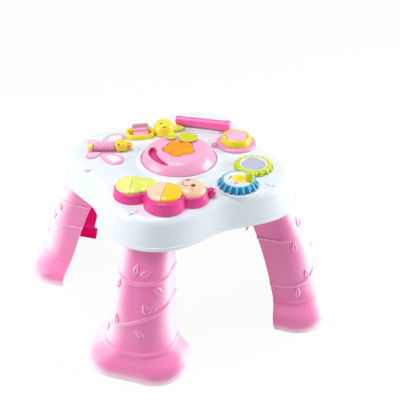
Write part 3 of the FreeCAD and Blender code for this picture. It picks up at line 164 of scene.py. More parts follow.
colours = {
    "shell_white": ("#E9F1F8", polishedAbs), "leg_pink": ("#F685BB", satinPolypropylene),
    "base_magenta": ("#F03A98", polishedAbs), "key_yellow": ("#FFEE88", polishedAbs),
    "key_lime": ("#E4EA66", polishedAbs), "key_peach": ("#FBD3B4", polishedAbs),
    "key_gold": ("#FFCE00", polishedAbs), "face_peach": ("#FCCDA9", polishedAbs),
    # the groove's darker rose is painted shade in the finger groove's recess
    "dome_pink": ("#F7AED0", polishedAbs), "groove_rose": ("#E0458F", polishedAbs),
    "orange_clear": ("#FF9B08", clearStyrene), "lime_leaf": ("#D0D400", polishedAbs),
    "dial_blue": ("#0E8CBC", polishedAbs), "dial_white": ("#E9EAE8", polishedAbs),
    "wheel_lime": ("#CFDD1E", polishedAbs), "drum_pink": ("#F4A3CE", polishedAbs),
    "drum_lime": ("#EEDF2A", polishedAbs), "drum_cap": ("#F8BCD8", polishedAbs),
    "bird_yellow": ("#FDE42C", polishedAbs), "beak_lime": ("#EAEA30", polishedAbs),
    "paddle_pink": ("#F8B4D2", polishedAbs), "bee_yellow": ("#FCDD22", polishedAbs),
    "bee_pink": ("#F4A8CD", polishedAbs), "bar_pink": ("#FF66B0", polishedAbs),
    "cradle_white": ("#E9F1F8", polishedAbs), "switch_grey": ("#8C9096", mattAbs),
    "board_green": ("#2F6B3C", mattAbs), "rubber_grey": ("#9A9A9A", softRubber),
    "cell_wrap": ("#3C3F45", polishedAbs), "speaker_black": ("#26272A", mattAbs),
    "lead_sleeve": ("#B03A34", softRubber),
}
materials = {slot: mouldedPlastic("moulded_" + slot, *look) for slot, look in colours.items()}
materials["steel"] = brushedSteel("zinc_plated_steel", "#B9BBBD", 0.4)
materials["mirror_film"] = silveredAcrylic("silvered_acrylic_painted_reflection", "#D2D4E6", 14.0)
# the legs' inside is a deeper, more saturated magenta than the outside, which is painted shade, and its glow
# is painted light: the inside shines a little by itself in its own colour
legInsidePaintedShadeGlow = mouldedPlastic("leg_inside_painted_shade_and_glow", "#D80A74", {**mattAbs, "ior": 1.15, "glow": 0.32})
inkBlack = mouldedPlastic("printed_ink_black", "#1C1512", mattAbs)
inkWhite = mouldedPlastic("printed_ink_white", "#FBFAFA", polishedAbs)
inkPink = mouldedPlastic("printed_ink_pink", "#F2A2B8", polishedAbs)
# a paler copy of the dial's blue, for painted highlight on its ribs and rim
ribHighlightBlue = mouldedPlastic("painted_highlight_rib_blue", "#55CDEE", polishedAbs)
antennaPink = mouldedPlastic("moulded_antenna_pink", "#DD1478", polishedAbs)
beakGold = mouldedPlastic("moulded_beak_gold", "#F2AE16", polishedAbs)
tailCream = mouldedPlastic("moulded_tail_cream", "#F6E27A", polishedAbs)
wingPale = mouldedPlastic("moulded_wing_pale", "#F3C6DE", polishedAbs)
flapRose = mouldedPlastic("moulded_flap_rose", "#E7AAC6", polishedAbs)
cheekPeach = mouldedPlastic("printed_cheek_peach", "#F8B58C", polishedAbs)

for entry in frame["record"]["subparts"]:
    cad = nodes[entry["node"]]
    cad.data.materials.clear()
    cad.data.materials.append(materials[entry["material_slot"]])
    cad.data.shade_smooth()
    cad.data.set_sharp_from_angle(angle=math.radians(32))
print("materials:", len(bpy.data.materials))


# mesh building

# turns a form in its group's own plan about Z and moves it to the group's place
def placing(group):
    turn = Matrix.Rotation(math.radians(group["turn"]), 4, "Z")
    return Matrix.Translation(Vector((*group["at"], 0)) * mm) @ turn


def makePiece(name, shape, body, slotName, stands=(), material=None, group=None):
    mesh = bpy.data.meshes.new(name)
    mesh.from_pydata([tuple(c * mm for c in v) for v in shape[0]], [], shape[1])
    mesh.validate()
    if group:
        mesh.transform(placing(group))
    return finishPiece(name, mesh, body, slotName, stands, material)


def finishPiece(name, mesh, body, slotName, stands=(), material=None, crease=38):
    mesh.shade_smooth()
    mesh.set_sharp_from_angle(angle=math.radians(crease))
    made = bpy.data.objects.new(name, mesh)
    bpy.context.scene.collection.objects.link(made)
    if not mesh.materials:
        mesh.materials.append(material or materials[slotName])
    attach(made, body)
    if stands:
        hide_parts(*stands)
    return made


# a point of the plan, turned about the origin and moved
def swing(x, y, degrees, at=(0.0, 0.0)):
    a = math.radians(degrees)
    return at[0] + x * math.cos(a) - y * math.sin(a), at[1] + x * math.sin(a) + y * math.cos(a)


# the same profile or box levels, with heights counted from the deck
def onDeck(corners, lift=0.0):
    return [(*c[:-1], deckZ + lift + c[-1]) for c in corners]


# a plan outline at a height
def level(outline, z):
    return np.column_stack([outline, np.full(len(outline), z)])


def ring(radius, z, count, at=(0.0, 0.0)):
    angles = np.linspace(0, 2 * math.pi, count, endpoint=False)
    r = np.broadcast_to(radius, (count,))
    height = np.broadcast_to(z, (count,))
    return np.stack([at[0] + r * np.cos(angles), at[1] + r * np.sin(angles), height], axis=1)


def point(x, y, z):
    return np.array([[x, y, z]])


# quads between rings of equal length; a ring of one point closes the surface there
def skin(rings, closed=False):
    verts, faces, starts = [], [], []
    for points in rings:
        starts.append(len(verts))
        verts.extend(map(tuple, points))
    pairs = list(zip(range(len(rings)), range(1, len(rings))))
    if closed:
        pairs.append((len(rings) - 1, 0))
    for a, b in pairs:
        na, nb, sa, sb = len(rings[a]), len(rings[b]), starts[a], starts[b]
        for i in range(max(na, nb)):
            j = (i + 1) % max(na, nb)
            if na == 1:
                faces.append((sa, sb + i, sb + j))
            elif nb == 1:
                faces.append((sa + j, sa + i, sb))
            else:
                faces.append((sa + i, sb + i, sb + j, sa + j))
    return verts, faces


# values through (place, value) knots with no overshoot
def smoothCurve(knots, at):
    xs, ys = np.array(knots, float).T
    at = np.clip(np.asarray(at, float), xs[0], xs[-1])
    step, rise = np.diff(xs), np.diff(ys)
    slope = rise / step
    tangent = np.concatenate([[slope[0]], np.zeros(len(xs) - 2), [slope[-1]]])
    for i in range(1, len(xs) - 1):
        if slope[i - 1] * slope[i] > 0:
            tangent[i] = 2 * slope[i - 1] * slope[i] / (slope[i - 1] + slope[i])
    i = np.clip(np.searchsorted(xs, at) - 1, 0, len(step) - 1)
    t = (at - xs[i]) / step[i]
    a, b = tangent[i] * step[i], tangent[i + 1] * step[i]
    return (ys[i] * (1 - 3 * t**2 + 2 * t**3) + ys[i + 1] * (3 * t**2 - 2 * t**3)
            + a * (t - 2 * t**2 + t**3) + b * (t**3 - t**2))


def smoothStep(low, high, value):
    t = np.clip((value - low) / (high - low), 0, 1)
    return t * t * (3 - 2 * t)


# rings of a turned form; a radius of nought is one point on the axis
def turnedRings(profile, count=96, at=(0.0, 0.0)):
    rings = []
    for r, z in profile:
        rings.append(ring(r, z, count, at) if r > 0 else point(*at, z))
    return rings


# the (radius, z) corners of a profile, each inner one rounded off by a short arc
def rounded(corners, fillet, steps=4):
    made = [corners[0]]
    for before, here, after in zip(corners, corners[1:], corners[2:]):
        p, q, s = (np.array(c, float) for c in (before, here, after))
        reach = min(fillet, 0.45 * np.linalg.norm(p - q), 0.45 * np.linalg.norm(s - q))
        a = q + (p - q) / max(np.linalg.norm(p - q), 1e-6) * reach
        b = q + (s - q) / max(np.linalg.norm(s - q), 1e-6) * reach
        for k in range(steps + 1):
            t = k / steps
            made.append(tuple((1 - t) ** 2 * a + 2 * t * (1 - t) * q + t * t * b))
    made.append(corners[-1])
    return made


# a solid turned about an upright axis, its corners softened where a fillet is given
def turnedSkin(corners, count, at=(0.0, 0.0), fillet=0.0):
    return skin(turnedRings(rounded(corners, fillet) if fillet else corners, count, at))


# a closed hoop turned about an upright axis
def hoopSkin(corners, fillet, count, at=(0.0, 0.0)):
    profile = rounded(corners, fillet)
    if profile[0] == profile[-1]:
        profile.pop()
    return skin(turnedRings(profile, count, at)[::-1], closed=True)


# a turned form that lies along X, its axis at a height over the deck
def lyingSkin(profile, axleHeight, count):
    lift = deckZ + axleHeight
    return skin([np.array([(p[2], p[0], lift + p[1]) for p in r]) for r in turnedRings(profile, count)])


# outline of a rectangle with rounded corners, the same number of points whatever its size
def roundedRect(halfX, halfY, corner, perCorner=14):
    points = []
    for k, (sx, sy) in enumerate(((1, 1), (-1, 1), (-1, -1), (1, -1))):
        for t in np.linspace(0, math.pi / 2, perCorner):
            a = t + k * math.pi / 2
            points.append((sx * (halfX - corner) + corner * math.cos(a),
                           sy * (halfY - corner) + corner * math.sin(a)))
    return np.array(points)


# a rectangular form through (half length, half depth, corner, z); two numbers close it at the middle
def boxSkin(levels, stretch=None):
    rings = []
    for *size, z in levels:
        if len(size) == 1:
            rings.append(point(0.0, 0.0, z))
            continue
        plan = roundedRect(*size)
        if stretch:
            plan = np.array([stretch(x, y) for x, y in plan])
        rings.append(level(plan, z))
    return skin(rings)


# one mesh from several skins
def joined(*skins):
    verts, faces = [], []
    for extra, more in skins:
        faces += [tuple(i + len(verts) for i in face) for face in more]
        verts += list(extra)
    return verts, faces


# a pebble: an ellipsoid whose squareness grows with power, cut flat at the height floorZ
def pebble(centre, reach, power=2.0, floorZ=None, taper=0.0, across=40, up=22):
    rings = []
    for v in np.linspace(-math.pi / 2, math.pi / 2, up + 1):
        c, d = math.cos(v), math.sin(v)
        k = (abs(c) ** power + abs(d) ** power) ** (-1 / power)
        height = centre[2] + reach[2] * d * k
        if floorZ is not None:
            height = max(height, floorZ)
        if abs(abs(d) - 1) < 1e-9:
            rings.append(point(centre[0], centre[1], height))
            continue
        points = []
        for t in np.linspace(0, 2 * math.pi, across, endpoint=False):
            e = (abs(math.cos(t)) ** power + abs(math.sin(t)) ** power) ** (-1 / power)
            u, w = math.cos(t) * e * c * k, math.sin(t) * e * c * k
            points.append((centre[0] + reach[0] * u, centre[1] + reach[1] * w * (1 - taper * u), height))
        rings.append(np.array(points))
    return skin(rings)


# legs

leg = {
    "wall": 2.6,
    # (height, distance): the outer face, the open side, the half width; and how round the corners are
    "out": [(0, 272), (5, 273.6), (13, 274.5), (21, 273), (28, 269), (36, 262.5), (42, 258.5), (46, 256),
            (120, 231.5), (218, 184.5)],
    "inside": [(0, 196), (13, 194), (36, 189), (46, 186), (120, 163), (218, 122)],
    "half": [(0, 80), (5, 83), (13, 84.5), (21, 83), (28, 78), (36, 68), (42, 60.5), (46, 57),
             (120, 45), (218, 34.5)],
    "round": [(0, 0.63), (28, 0.66), (44, 0.84), (60, 0.9), (218, 0.9)],
    "rows": 290, "coarse": 8, "top": 217.8, "crease": 50,     # the inside has one row to 8 outside
    "sideSteps": 34, "cornerSteps": 84, "frontSteps": 22,
    # vines: height, how far they slant and how far they sag over a quarter turn, and how thin they are
    "vines": [(154, 0, 2, 1.0), (94, 21, 0, 0.93), (45, 0, 0, 1.0)], "vineWidth": 2.6, "vineProud": 2.5,
    "leafLength": 17.0, "leafWidth": 9.5, "leafProud": 2.0,
}
# leaves: height, turn round the column, lean
leaves = [
    (173, -5, -10), (169, 17, -62), (143, -47, -20), (142, 46, 42), (118, 23, 28),
    (118, 37, -30), (91, -35, 10), (79, 14, 50), (63, -60, -10),
]


# the half-round outline at a height, from one open edge round to the other
def legOutline(z, inset):
    out = smoothCurve(leg["out"], z) - inset
    inside = smoothCurve(leg["inside"], z)
    half = smoothCurve(leg["half"], z) - inset
    corner = (smoothCurve(leg["half"], z) * smoothCurve(leg["round"], z)) - inset
    side = np.linspace(0, 1, leg["sideSteps"])[:-1]
    turnSteps = np.linspace(0, math.pi / 2, leg["cornerSteps"])[:-1]
    front = np.linspace(-1, 1, leg["frontSteps"])[:-1]
    points = [(inside + (out - corner - inside) * t, -half) for t in side]
    points += [(out - corner + corner * math.sin(t), -half + corner - corner * math.cos(t)) for t in turnSteps]
    points += [(out, (half - corner) * t) for t in front]
    points += [(out - corner + corner * math.cos(t), half - corner + corner * math.sin(t)) for t in turnSteps]
    points += [(out - corner - (out - corner - inside) * t, half) for t in np.append(side, 1.0)]
    return np.array(points)


# how far the vines and leaves stand out of the leg at the outline's points
def legRelief(points, z):
    half = smoothCurve(leg["half"], z)
    middle = smoothCurve(leg["out"], z) - half
    turn = np.degrees(np.arctan2(points[:, 1], points[:, 0] - middle))
    steep = np.sin(np.radians(np.clip(turn, -90, 90)))
    relief = np.zeros(len(points))
    for height, slant, sag, thin in leg["vines"]:
        off = np.abs(z - (height + slant * steep + sag * steep**2)) * thin / leg["vineWidth"]
        relief = np.maximum(relief, leg["vineProud"] * np.sqrt(np.clip(1 - off**2, 0, 1)))
    for height, at, lean in leaves:
        across = np.radians(turn - at) * half
        up = z - height
        a = math.radians(lean)
        along = up * math.cos(a) - across * math.sin(a)
        side = across * math.cos(a) + up * math.sin(a)
        t = along / (leg["leafLength"] / 2)
        belly = leg["leafWidth"] / 2 * np.clip(1 - t**2, 0, 1) * (1 - 0.25 * t)
        off = np.abs(side) / np.maximum(belly, 0.01)
        body = smoothStep(1.1, 0.8, off) * (belly > 0.2)
        rib = 0.55 * smoothStep(0.3, 0.0, off)
        relief = np.maximum(relief, leg["leafProud"] * body * (1 - rib))
    return relief


def buildLeg():
    heights = np.linspace(0, leg["top"], leg["rows"])
    outer, inner = [], []
    for z in heights:
        points = legOutline(z, 0.0)
        along = np.roll(points, -1, 0) - np.roll(points, 1, 0)
        along[0], along[-1] = points[1] - points[0], points[-1] - points[-2]
        normal = np.stack([along[:, 1], -along[:, 0]], 1)
        normal /= np.linalg.norm(normal, axis=1)[:, None]
        outer.append(level(points + normal * legRelief(points, z)[:, None], z))
    for z in np.append(heights[::leg["coarse"]], leg["top"]):
        inner.append(level(legOutline(z, leg["wall"]), z))
    count = len(outer[0])
    verts = [tuple(p) for row in outer + inner for p in row]
    faces, shades = [], []
    for k in range(len(outer) - 1):
        for i in range(count - 1):
            a = k * count + i
            faces.append((a, a + 1, a + count + 1, a + count))
            shades.append(0)
    base = len(outer) * count          # first point of the inside
    for k in range(len(inner) - 1):
        for i in range(count - 1):
            a = base + k * count + i
            faces.append((a, a + count, a + count + 1, a + 1))
            shades.append(1)
    last = base + (len(inner) - 1) * count
    topRow = (len(outer) - 1) * count
    for i in range(count - 1):
        faces.append((i + 1, i, base + i, base + i + 1))
        faces.append((topRow + i, topRow + i + 1, last + i + 1, last + i))
        shades += [0, 0]
    for side in (0, count - 1):      # the two open edges, a fan of quads from fine to coarse rows
        for k in range(len(inner) - 1):
            low = k * leg["coarse"]
            high = min(low + leg["coarse"], len(outer) - 1)
            edge = [row * count + side for row in range(low, high + 1)]
            back = [base + (k + 1) * count + side, base + k * count + side]
            faces.append(tuple(edge + back) if side == 0 else tuple((edge + back)[::-1]))
            shades.append(0)
    return verts, faces, shades


legVerts, legFaces, legShades = buildLeg()
legMesh = bpy.data.meshes.new("leg_moulding")
legMesh.from_pydata([tuple(c * mm for c in v) for v in legVerts], [], legFaces)
legMesh.polygons.foreach_set("material_index", legShades)
legMesh.materials.append(materials["leg_pink"])
legMesh.materials.append(legInsidePaintedShadeGlow)
legTurns = {"leg_back_right": 45, "leg_back_left": 135, "leg_front_left": 225, "leg_front_right": 315}
for legName, angle in legTurns.items():
    mesh = legMesh.copy()
    mesh.transform(placing({"at": (0, 0), "turn": angle}))
    finishPiece(legName + "_moulding", mesh, "table", "leg_pink", [legName], crease=leg["crease"])
print("legs:", len(legFaces), "faces each")


# inner lip of the dome's seat, softened where it meets the deck

seatRim = {"inner": 64.3, "outer": 71.5, "height": 4.4, "skirt": 1.5, "under": 0.5, "fillet": 1.6}
inner, outer, high = seatRim["inner"], seatRim["outer"], seatRim["height"]
corners = onDeck([
    (inner, -seatRim["under"]), (inner, high * 0.9), (inner + 0.9, high),
    (inner + 0.42 * (outer - inner), high * 0.95), (outer - 1.2, 0.3 * high),
    (outer + seatRim["skirt"], 0.02), (outer + seatRim["skirt"], -seatRim["under"]),
])
makePiece("dome_seat_rim", hoopSkin(corners, seatRim["fillet"], 128), "table", "shell_white")


# inchworm keyboard

# each lobe's middle and size, and the key that sits in it
lobes = {
    "tail": {"at": (-115.0, -63.5), "radius": 31.0, "height": 16.0,
             "key": 25.8, "crown": 6.4, "keyAt": (-115.4, -62.6)},
    "waist": {"at": (-98.0, -75.0), "radius": 24.5, "height": 16.0,
              "key": 20.0, "crown": 6.4, "keyAt": (-97.6, -73.4)},
    "body": {"at": (-84.0, -114.0), "radius": 33.5, "height": 20.6,
             "key": 27.0, "crown": 6.4, "keyAt": (-83.0, -111.4)},
    "head": {"at": (-40.0, -116.8), "radius": 28.6, "height": 15.5,
             "key": 24.9, "crown": 11.2, "keyAt": (-40.3, -115.4)},
}
keyboard = {"gap": 0.35, "between": 0.7, "headWall": 1.6, "seat": 2.1, "skirt": 6, "edge": 1.1,
            "tailSplit": 55.5, "bodySplit": 49.5}


def solidObject(name, shape):
    mesh = bpy.data.meshes.new(name)
    mesh.from_pydata([tuple(c * mm for c in v) for v in shape[0]], [], shape[1])
    made = bpy.data.objects.new(name, mesh)
    bpy.context.scene.collection.objects.link(made)
    return made


# joins or cuts solids; the tools are used up
def combine(target, tools, operation):
    for tool in tools:
        step = target.modifiers.new("step", "BOOLEAN")
        step.operation = operation
        step.solver = "EXACT"
        step.object = tool
    graph = bpy.context.evaluated_depsgraph_get()
    mesh = bpy.data.meshes.new_from_object(target.evaluated_get(graph))
    target.modifiers.clear()
    target.data = mesh
    for tool in tools:
        bpy.data.objects.remove(tool)
    return target


# takes a solid's mesh and drops its object
def meshOf(solid):
    mesh = solid.data
    bpy.data.objects.remove(solid)
    mesh.materials.clear()
    return mesh


def lobeSolid(name):
    lobe = lobes[name]
    r, h, key = lobe["radius"], lobe["height"], lobe["key"]
    knots = [(0, r), (0.1, r + 0.1), (0.4, r - 0.8), (0.66, r - 1.9), (0.86, r - 3.0),
             (0.95, (r + key) / 2 + 0.2), (1.0, key + 1.6)]
    side = [(float(smoothCurve(knots, share)), h * share) for share in np.linspace(0, 1, 26)]
    return solidObject("lobe_" + name, turnedSkin(onDeck([(0, 0), *side, (0, h)]), 120, lobe["at"]))


def wellSolid(name):
    lobe = lobes[name]
    key, top = lobe["key"] + keyboard["gap"], lobe["height"]
    profile = [(0, 1), (key, 1), (key, top - 1.6), (key + 0.3, top - 0.7), (key + 1.1, top - 0.1),
               (key + 2.2, top + 1.2), (key + 2.2, top + 30), (0, top + 30)]
    return solidObject("well_" + name, turnedSkin(onDeck(profile), 120, lobe["keyAt"]))


# an upright cylinder round a key, which keeps its neighbour off it
def guardSolid(name, extra, top=60):
    reach = lobes[name]["key"] + extra
    profile = onDeck([(0, -5), (reach, -5), (reach, top), (0, top)])
    return solidObject("guard_" + name, turnedSkin(profile, 120, lobes[name]["keyAt"]))


firstLobe, *otherLobes = [lobeSolid(name) for name in lobes]
wormBase = combine(firstLobe, otherLobes, "UNION")
wells = {name: wellSolid(name) for name in lobes}
headWall = guardSolid("head", keyboard["headWall"], lobes["head"]["height"] - 0.01)
wells["body"] = combine(wells["body"], [headWall], "DIFFERENCE")
wormBase = combine(wormBase, list(wells.values()), "DIFFERENCE")
finishPiece("inchworm_base_moulding", meshOf(wormBase), "table", "base_magenta", ["inchworm_base"])


# how high a key's crown stands at a share of its radius
def crownRise(lobe, share):
    return lobe["crown"] * np.clip(1 - np.clip(share, 0, 1) ** 2.4, 0, 1) ** 0.62


def keySkin(name):
    lobe = lobes[name]
    r, seat = lobe["key"], keyboard["seat"]
    profile = [(0, -keyboard["skirt"]), (r, -keyboard["skirt"]), (r, seat - 1.2), (r * 0.998, seat - 0.4)]
    for share in 1 - np.linspace(0, 1, 20) ** 2:
        profile.append((r * 0.995 * float(share), seat + float(crownRise(lobe, share))))
    profile[-1] = (0, profile[-1][1])
    return turnedSkin(onDeck(profile, lobe["height"]), 128, lobe["keyAt"])


# half a round key, cut by an upright plane, with its neighbours' room taken out
def halfKey(colour, lobeNames, splitAngle, side, guards):
    name, slotName = colour + "_key_cap", "key_" + colour
    first, *others = [solidObject(name, keySkin(n)) for n in lobeNames]
    solid = combine(first, others, "UNION") if others else first
    for guardName, extra in guards:
        solid = combine(solid, [guardSolid(guardName, extra)], "DIFFERENCE")
    lobe = lobes[lobeNames[0]]
    normal = Vector((*swing(side, 0, splitAngle - 90), 0))
    at = Vector((*lobe["keyAt"], 0))
    cut = bmesh.new()
    cut.from_mesh(solid.data)
    bmesh.ops.bisect_plane(cut, geom=cut.verts[:] + cut.edges[:] + cut.faces[:], dist=1e-6,
                           plane_co=(at + normal * keyboard["gap"]) * mm, plane_no=normal, clear_inner=True)
    rim = [e for e in cut.edges if e.is_boundary]
    bmesh.ops.edgeloop_fill(cut, edges=rim)
    cut.normal_update()
    above = (deckZ + lobe["height"]) * mm
    crease = [e for e in rim if e.is_valid and e.calc_face_angle(0) > 0.6]
    crease = [e for e in crease if min(v.co.z for v in e.verts) > above]
    bmesh.ops.bevel(cut, geom=crease, offset=keyboard["edge"] * mm, segments=3, profile=0.6, affect="EDGES",
                    clamp_overlap=True)
    mesh = bpy.data.meshes.new(name)
    cut.to_mesh(mesh)
    cut.free()
    bpy.data.objects.remove(solid)
    finishPiece(name, mesh, colour + "_key", slotName, [slotName])


headGuard = ("head", keyboard["headWall"] + 0.4)
halfKey("yellow", ["tail"], keyboard["tailSplit"], -1, [])
halfKey("lime", ["tail", "waist"], keyboard["tailSplit"], 1, [("body", keyboard["between"])])
halfKey("peach", ["body"], keyboard["bodySplit"], -1, [headGuard])
halfKey("gold", ["body"], keyboard["bodySplit"], 1, [headGuard])
makePiece("face_key_cap", keySkin("head"), "head_key", "face_peach", ["face_key"])


# height of the face key's crown over a point of the plan
def headHeight(x, y):
    lobe = lobes["head"]
    share = math.hypot(x - lobe["keyAt"][0], y - lobe["keyAt"][1]) / (lobe["key"] * 0.995)
    return deckZ + lobe["height"] + keyboard["seat"] + float(crownRise(lobe, share))


# a printed spot: a thin lens of ink on a surface, which is its height function, body and slot
def printedSpot(name, surface, centre, long, wide, angle, ink, lift=0.25):
    heightAt, body, slotName = surface
    rings = []
    for share, up in ((1.0, -0.25), (1.0, 0.4 * lift), (0.8, lift), (0.4, lift)):
        points = []
        for t in np.linspace(0, 2 * math.pi, 32, endpoint=False):
            x, y = swing(long * share * math.cos(t), wide * share * math.sin(t), angle, centre)
            points.append((x, y, heightAt(x, y) + up))
        rings.append(np.array(points))
    rings.append(point(*centre, heightAt(*centre) + lift))
    makePiece(name, skin(rings), body, slotName, material=ink)


# a printed line: a thin tube of ink laid on the surface along points of the plan
def printedLine(name, surface, points, width, ink):
    heightAt, body, slotName = surface
    rings = []
    for k, (x, y) in enumerate(points):
        before, after = points[max(k - 1, 0)], points[min(k + 1, len(points) - 1)]
        dx, dy = after[0] - before[0], after[1] - before[1]
        long = math.hypot(dx, dy)
        thin = width * (0.35 + 0.65 * math.sin(math.pi * (k + 0.5) / len(points)))
        loop = []
        for a in np.linspace(0, 2 * math.pi, 8, endpoint=False):
            px, py = x - dy / long * thin * math.cos(a), y + dx / long * thin * math.cos(a)
            loop.append((px, py, heightAt(px, py) + 0.3 * math.sin(a)))
        rings.append(np.array(loop))
    makePiece(name, skin(rings), body, slotName, material=ink)


# a simple face: two dots, a smile and a soft cheek, in plan places on the head's key
face = {
    "eyes": [((-38.6, -104.2), 4.2, 3.0, -20), ((-39.6, -123.2), 4.0, 3.2, 30)],
    "smile": [(-46.6, -104.6), (-50.2, -108.4), (-52.0, -113.6), (-50.8, -118.2), (-47.0, -121.0)],
    "cheek": (-47.6, -130.0),
    "line": 0.6, "glint": (0.7, 0.9),
}
headCap = (headHeight, "head_key", "face_peach")
for k, (eye, long, wide, turn) in enumerate(face["eyes"]):
    glintAt = (eye[0] + face["glint"][0], eye[1] + face["glint"][1])
    printedSpot(f"face_eye_{k + 1}", headCap, eye, long, wide, turn, inkBlack)
    printedSpot(f"face_glint_{k + 1}", headCap, glintAt, 1.0, 0.8, turn, inkWhite, 0.4)
smileX, smileY = zip(*face["smile"])
steps = np.linspace(0, len(smileX) - 1, 21)
smile = [(float(np.interp(t, range(len(smileX)), smileX)),
          float(np.interp(t, range(len(smileY)), smileY))) for t in steps]
printedLine("face_smile", headCap, smile, face["line"], inkBlack)
printedSpot("face_cheek", headCap, face["cheek"], 4.4, 3.6, 20, cheekPeach, 0.12)


# stalks with round ends on the head: bearing, reach, ball, lift, how far out the root is
feelers = {"feeler_long": (-17, 5.0, 8.0, 8.4, 26.5), "feeler_short": (36, 3.5, 4.8, 11.0, 24.0)}
for name, (bearing, reach, ball, lift, root) in feelers.items():
    profile = [(0, -4), (ball * 0.55, -4), (ball * 0.5, 1), (ball * 0.52, reach * 0.5)]
    for t in np.linspace(0.6, math.pi, 16):
        profile.append((max(ball * math.sin(t), 0), reach + ball * (1 - math.cos(t)) - ball * 0.94))
    profile[-1] = (0, profile[-1][1])
    piece = makePiece(name, turnedSkin(profile, 40), "table", "base_magenta", material=antennaPink)
    start = Vector((*swing(root, 0, bearing, lobes["head"]["at"]), deckZ + lift))
    lie = Matrix.Rotation(math.radians(bearing), 4, "Z") @ Matrix.Rotation(math.radians(90), 4, "Y")
    piece.data.transform(Matrix.Translation(start * mm) @ lie)
print("inchworm done")


# spinning dome, flower and leaves

flower = {"petals": 5, "turn": 15.0, "tip": 26.2, "notch": 20.6, "bottom": 274.6, "gap": 1.0, "valley": 2.3,
          "count": 288}
dome = {
    "count": 288, "floor": 271.3, "edge": 62.7, "crown": 33.0, "under": 268.6,
    "height": [(0, 277.3), (20, 277.4), (27, 277.6), (33, 277.8), (39, 278.0), (42, 277.9),
               (46, 277.3), (50.5, 275.0), (55, 271.0), (59, 266.2), (61.6, 261.8), (62.7, 259.4)],
    # finger groove: fat and round over its head, a share of its length, then tapering to a tip
    "grooveFrom": 149.0, "grooveTo": 225.0, "grooveStart": 43.6, "grooveEnd": 52.2, "grooveHalf": 7.4,
    "grooveDepth": 7.3, "grooveHead": 0.13,
}
# leaves at the crater's edge: middle, radius, where the foot stands
leafDiscs = [((29.0, 22.5), 16.7, (31.6, 24.5)), ((4.0, 36.5), 8.5, (4.4, 39.8))]
leafTop = 281.8


# reach of the petals at each angle of a full turn, and how far out of a notch that is
def petalReach(count):
    angles = np.linspace(0, 2 * math.pi, count, endpoint=False) - math.radians(flower["turn"])
    lobe = np.abs(np.cos(flower["petals"] / 2 * angles)) ** 0.7
    return flower["notch"] + (flower["tip"] - flower["notch"]) * lobe, lobe


def buildDome():
    count, start, end = dome["count"], dome["grooveFrom"], dome["grooveTo"]
    angles = np.degrees(np.linspace(0, 2 * math.pi, count, endpoint=False))
    well = petalReach(count)[0] + flower["gap"]
    u = np.clip((angles - start) / (end - start), 0, 1)
    inside = (angles > start) & (angles < end)
    middle = dome["grooveStart"] + (dome["grooveEnd"] - dome["grooveStart"]) * u ** 1.3
    blunt = dome["grooveHead"]
    headShape = np.sqrt(np.clip(1 - ((blunt - u) / blunt) ** 2, 0, 1))
    half = dome["grooveHalf"] * np.where(u < blunt, headShape, ((1 - u) / (1 - blunt)) ** 0.62)
    rings = [point(0, 0, dome["floor"])]
    rings += [ring(well * share, dome["floor"], count) for share in (0.3, 0.6, 0.9, 0.97)]
    top = smoothCurve(dome["height"], well)
    for out, drop in ((0.0, 4.6), (0.0, 1.4), (0.3, 0.6), (0.8, 0.15)):
        rings.append(ring(well + out, np.maximum(top - drop, dome["floor"]), count))
    depths = [np.zeros(len(r)) for r in rings]
    radii = [well + 0.8 + (dome["crown"] - well - 0.8) * t for t in np.linspace(0.08, 1, 12)]
    radii += [*np.linspace(dome["crown"] + 0.3, 58, 84), *np.linspace(58.5, dome["edge"], 10)]
    for r in radii:
        off = np.abs(r - middle) / np.maximum(half, 0.01)
        dip = np.where(inside & (half > 0.4), smoothStep(1.05, 0.8, off), 0.0)
        deep = dome["grooveDepth"] * smoothStep(0, 0.35, half / dome["grooveHalf"])
        rings.append(ring(r, smoothCurve(dome["height"], r) - deep * dip, count))
        depths.append(dip)
    below = [(dome["edge"], 257.6), (62.5, 256.7), (61.9, 256.2), (60.6, 256.2), (60.3, 258.0), (56, 262),
             (44, 266), (20, dome["under"]), (9.2, dome["under"])]
    rings += [ring(r, z, count) for r, z in below] + [point(0, 0, dome["under"])]
    paintedGrooveShade = np.concatenate(depths + [np.zeros(len(below) * count + 1)])
    piece = makePiece("spinner_dome_moulding", skin(rings), "dome", "dome_pink", ["spinner_dome"])
    # faces down in the finger groove take the darker rose: painted shade in the recess
    piece.data.materials.append(materials["groove_rose"])
    for polygon in piece.data.polygons:
        polygon.material_index = int(np.mean(paintedGrooveShade[list(polygon.vertices)]) > 0.3)


def buildFlower():
    count, bottom = flower["count"], flower["bottom"]
    reach, lobe = petalReach(count)
    rings = [point(0, 0, bottom)]
    for share, up in ((0.5, 0.0), (0.93, 0.0), (0.985, 0.5), (1.0, 1.6), (1.0, 2.6), (0.975, 3.7),
                      (0.92, 4.6), (0.84, 5.2), (0.74, 5.4), (0.6, 5.3), (0.45, 4.9), (0.3, 4.5), (0.15, 4.3)):
        valley = flower["valley"] * (1 - lobe) ** 1.6 * smoothStep(0.3, 0.85, share) * (up > 1)
        rings.append(ring(reach * share, bottom + up - valley, count))
    rings.append(point(0, 0, bottom + 4.25))
    makePiece("flower_cap", skin(rings), "flower", "orange_clear", ["flower_button"])


# a thin round leaf with a rolled edge, on a stub of a foot
def leafSkins(at, r, footAt):
    corners = [(0, -2.2), (r - 0.6, -2.2), (r, -1.4), (r - 0.1, -0.7), (r - 1.4, -0.05),
               (r - 3.4, -0.35), (0, -0.1)]
    corners = [(x, leafTop + z) for x, z in corners]
    foot = [(2.6, smoothCurve(dome["height"], 46) - 1.5), (2.3, leafTop - 2.0)]
    return [turnedSkin(corners, 80, at, 0.8), turnedSkin(foot, 24, footAt)]


buildDome()
buildFlower()
leafParts = [part for leafDisc in leafDiscs for part in leafSkins(*leafDisc)]
makePiece("lime_leaves", joined(*leafParts), "dome", "lime_leaf", ["leaf_tabs"])
print("dome done")


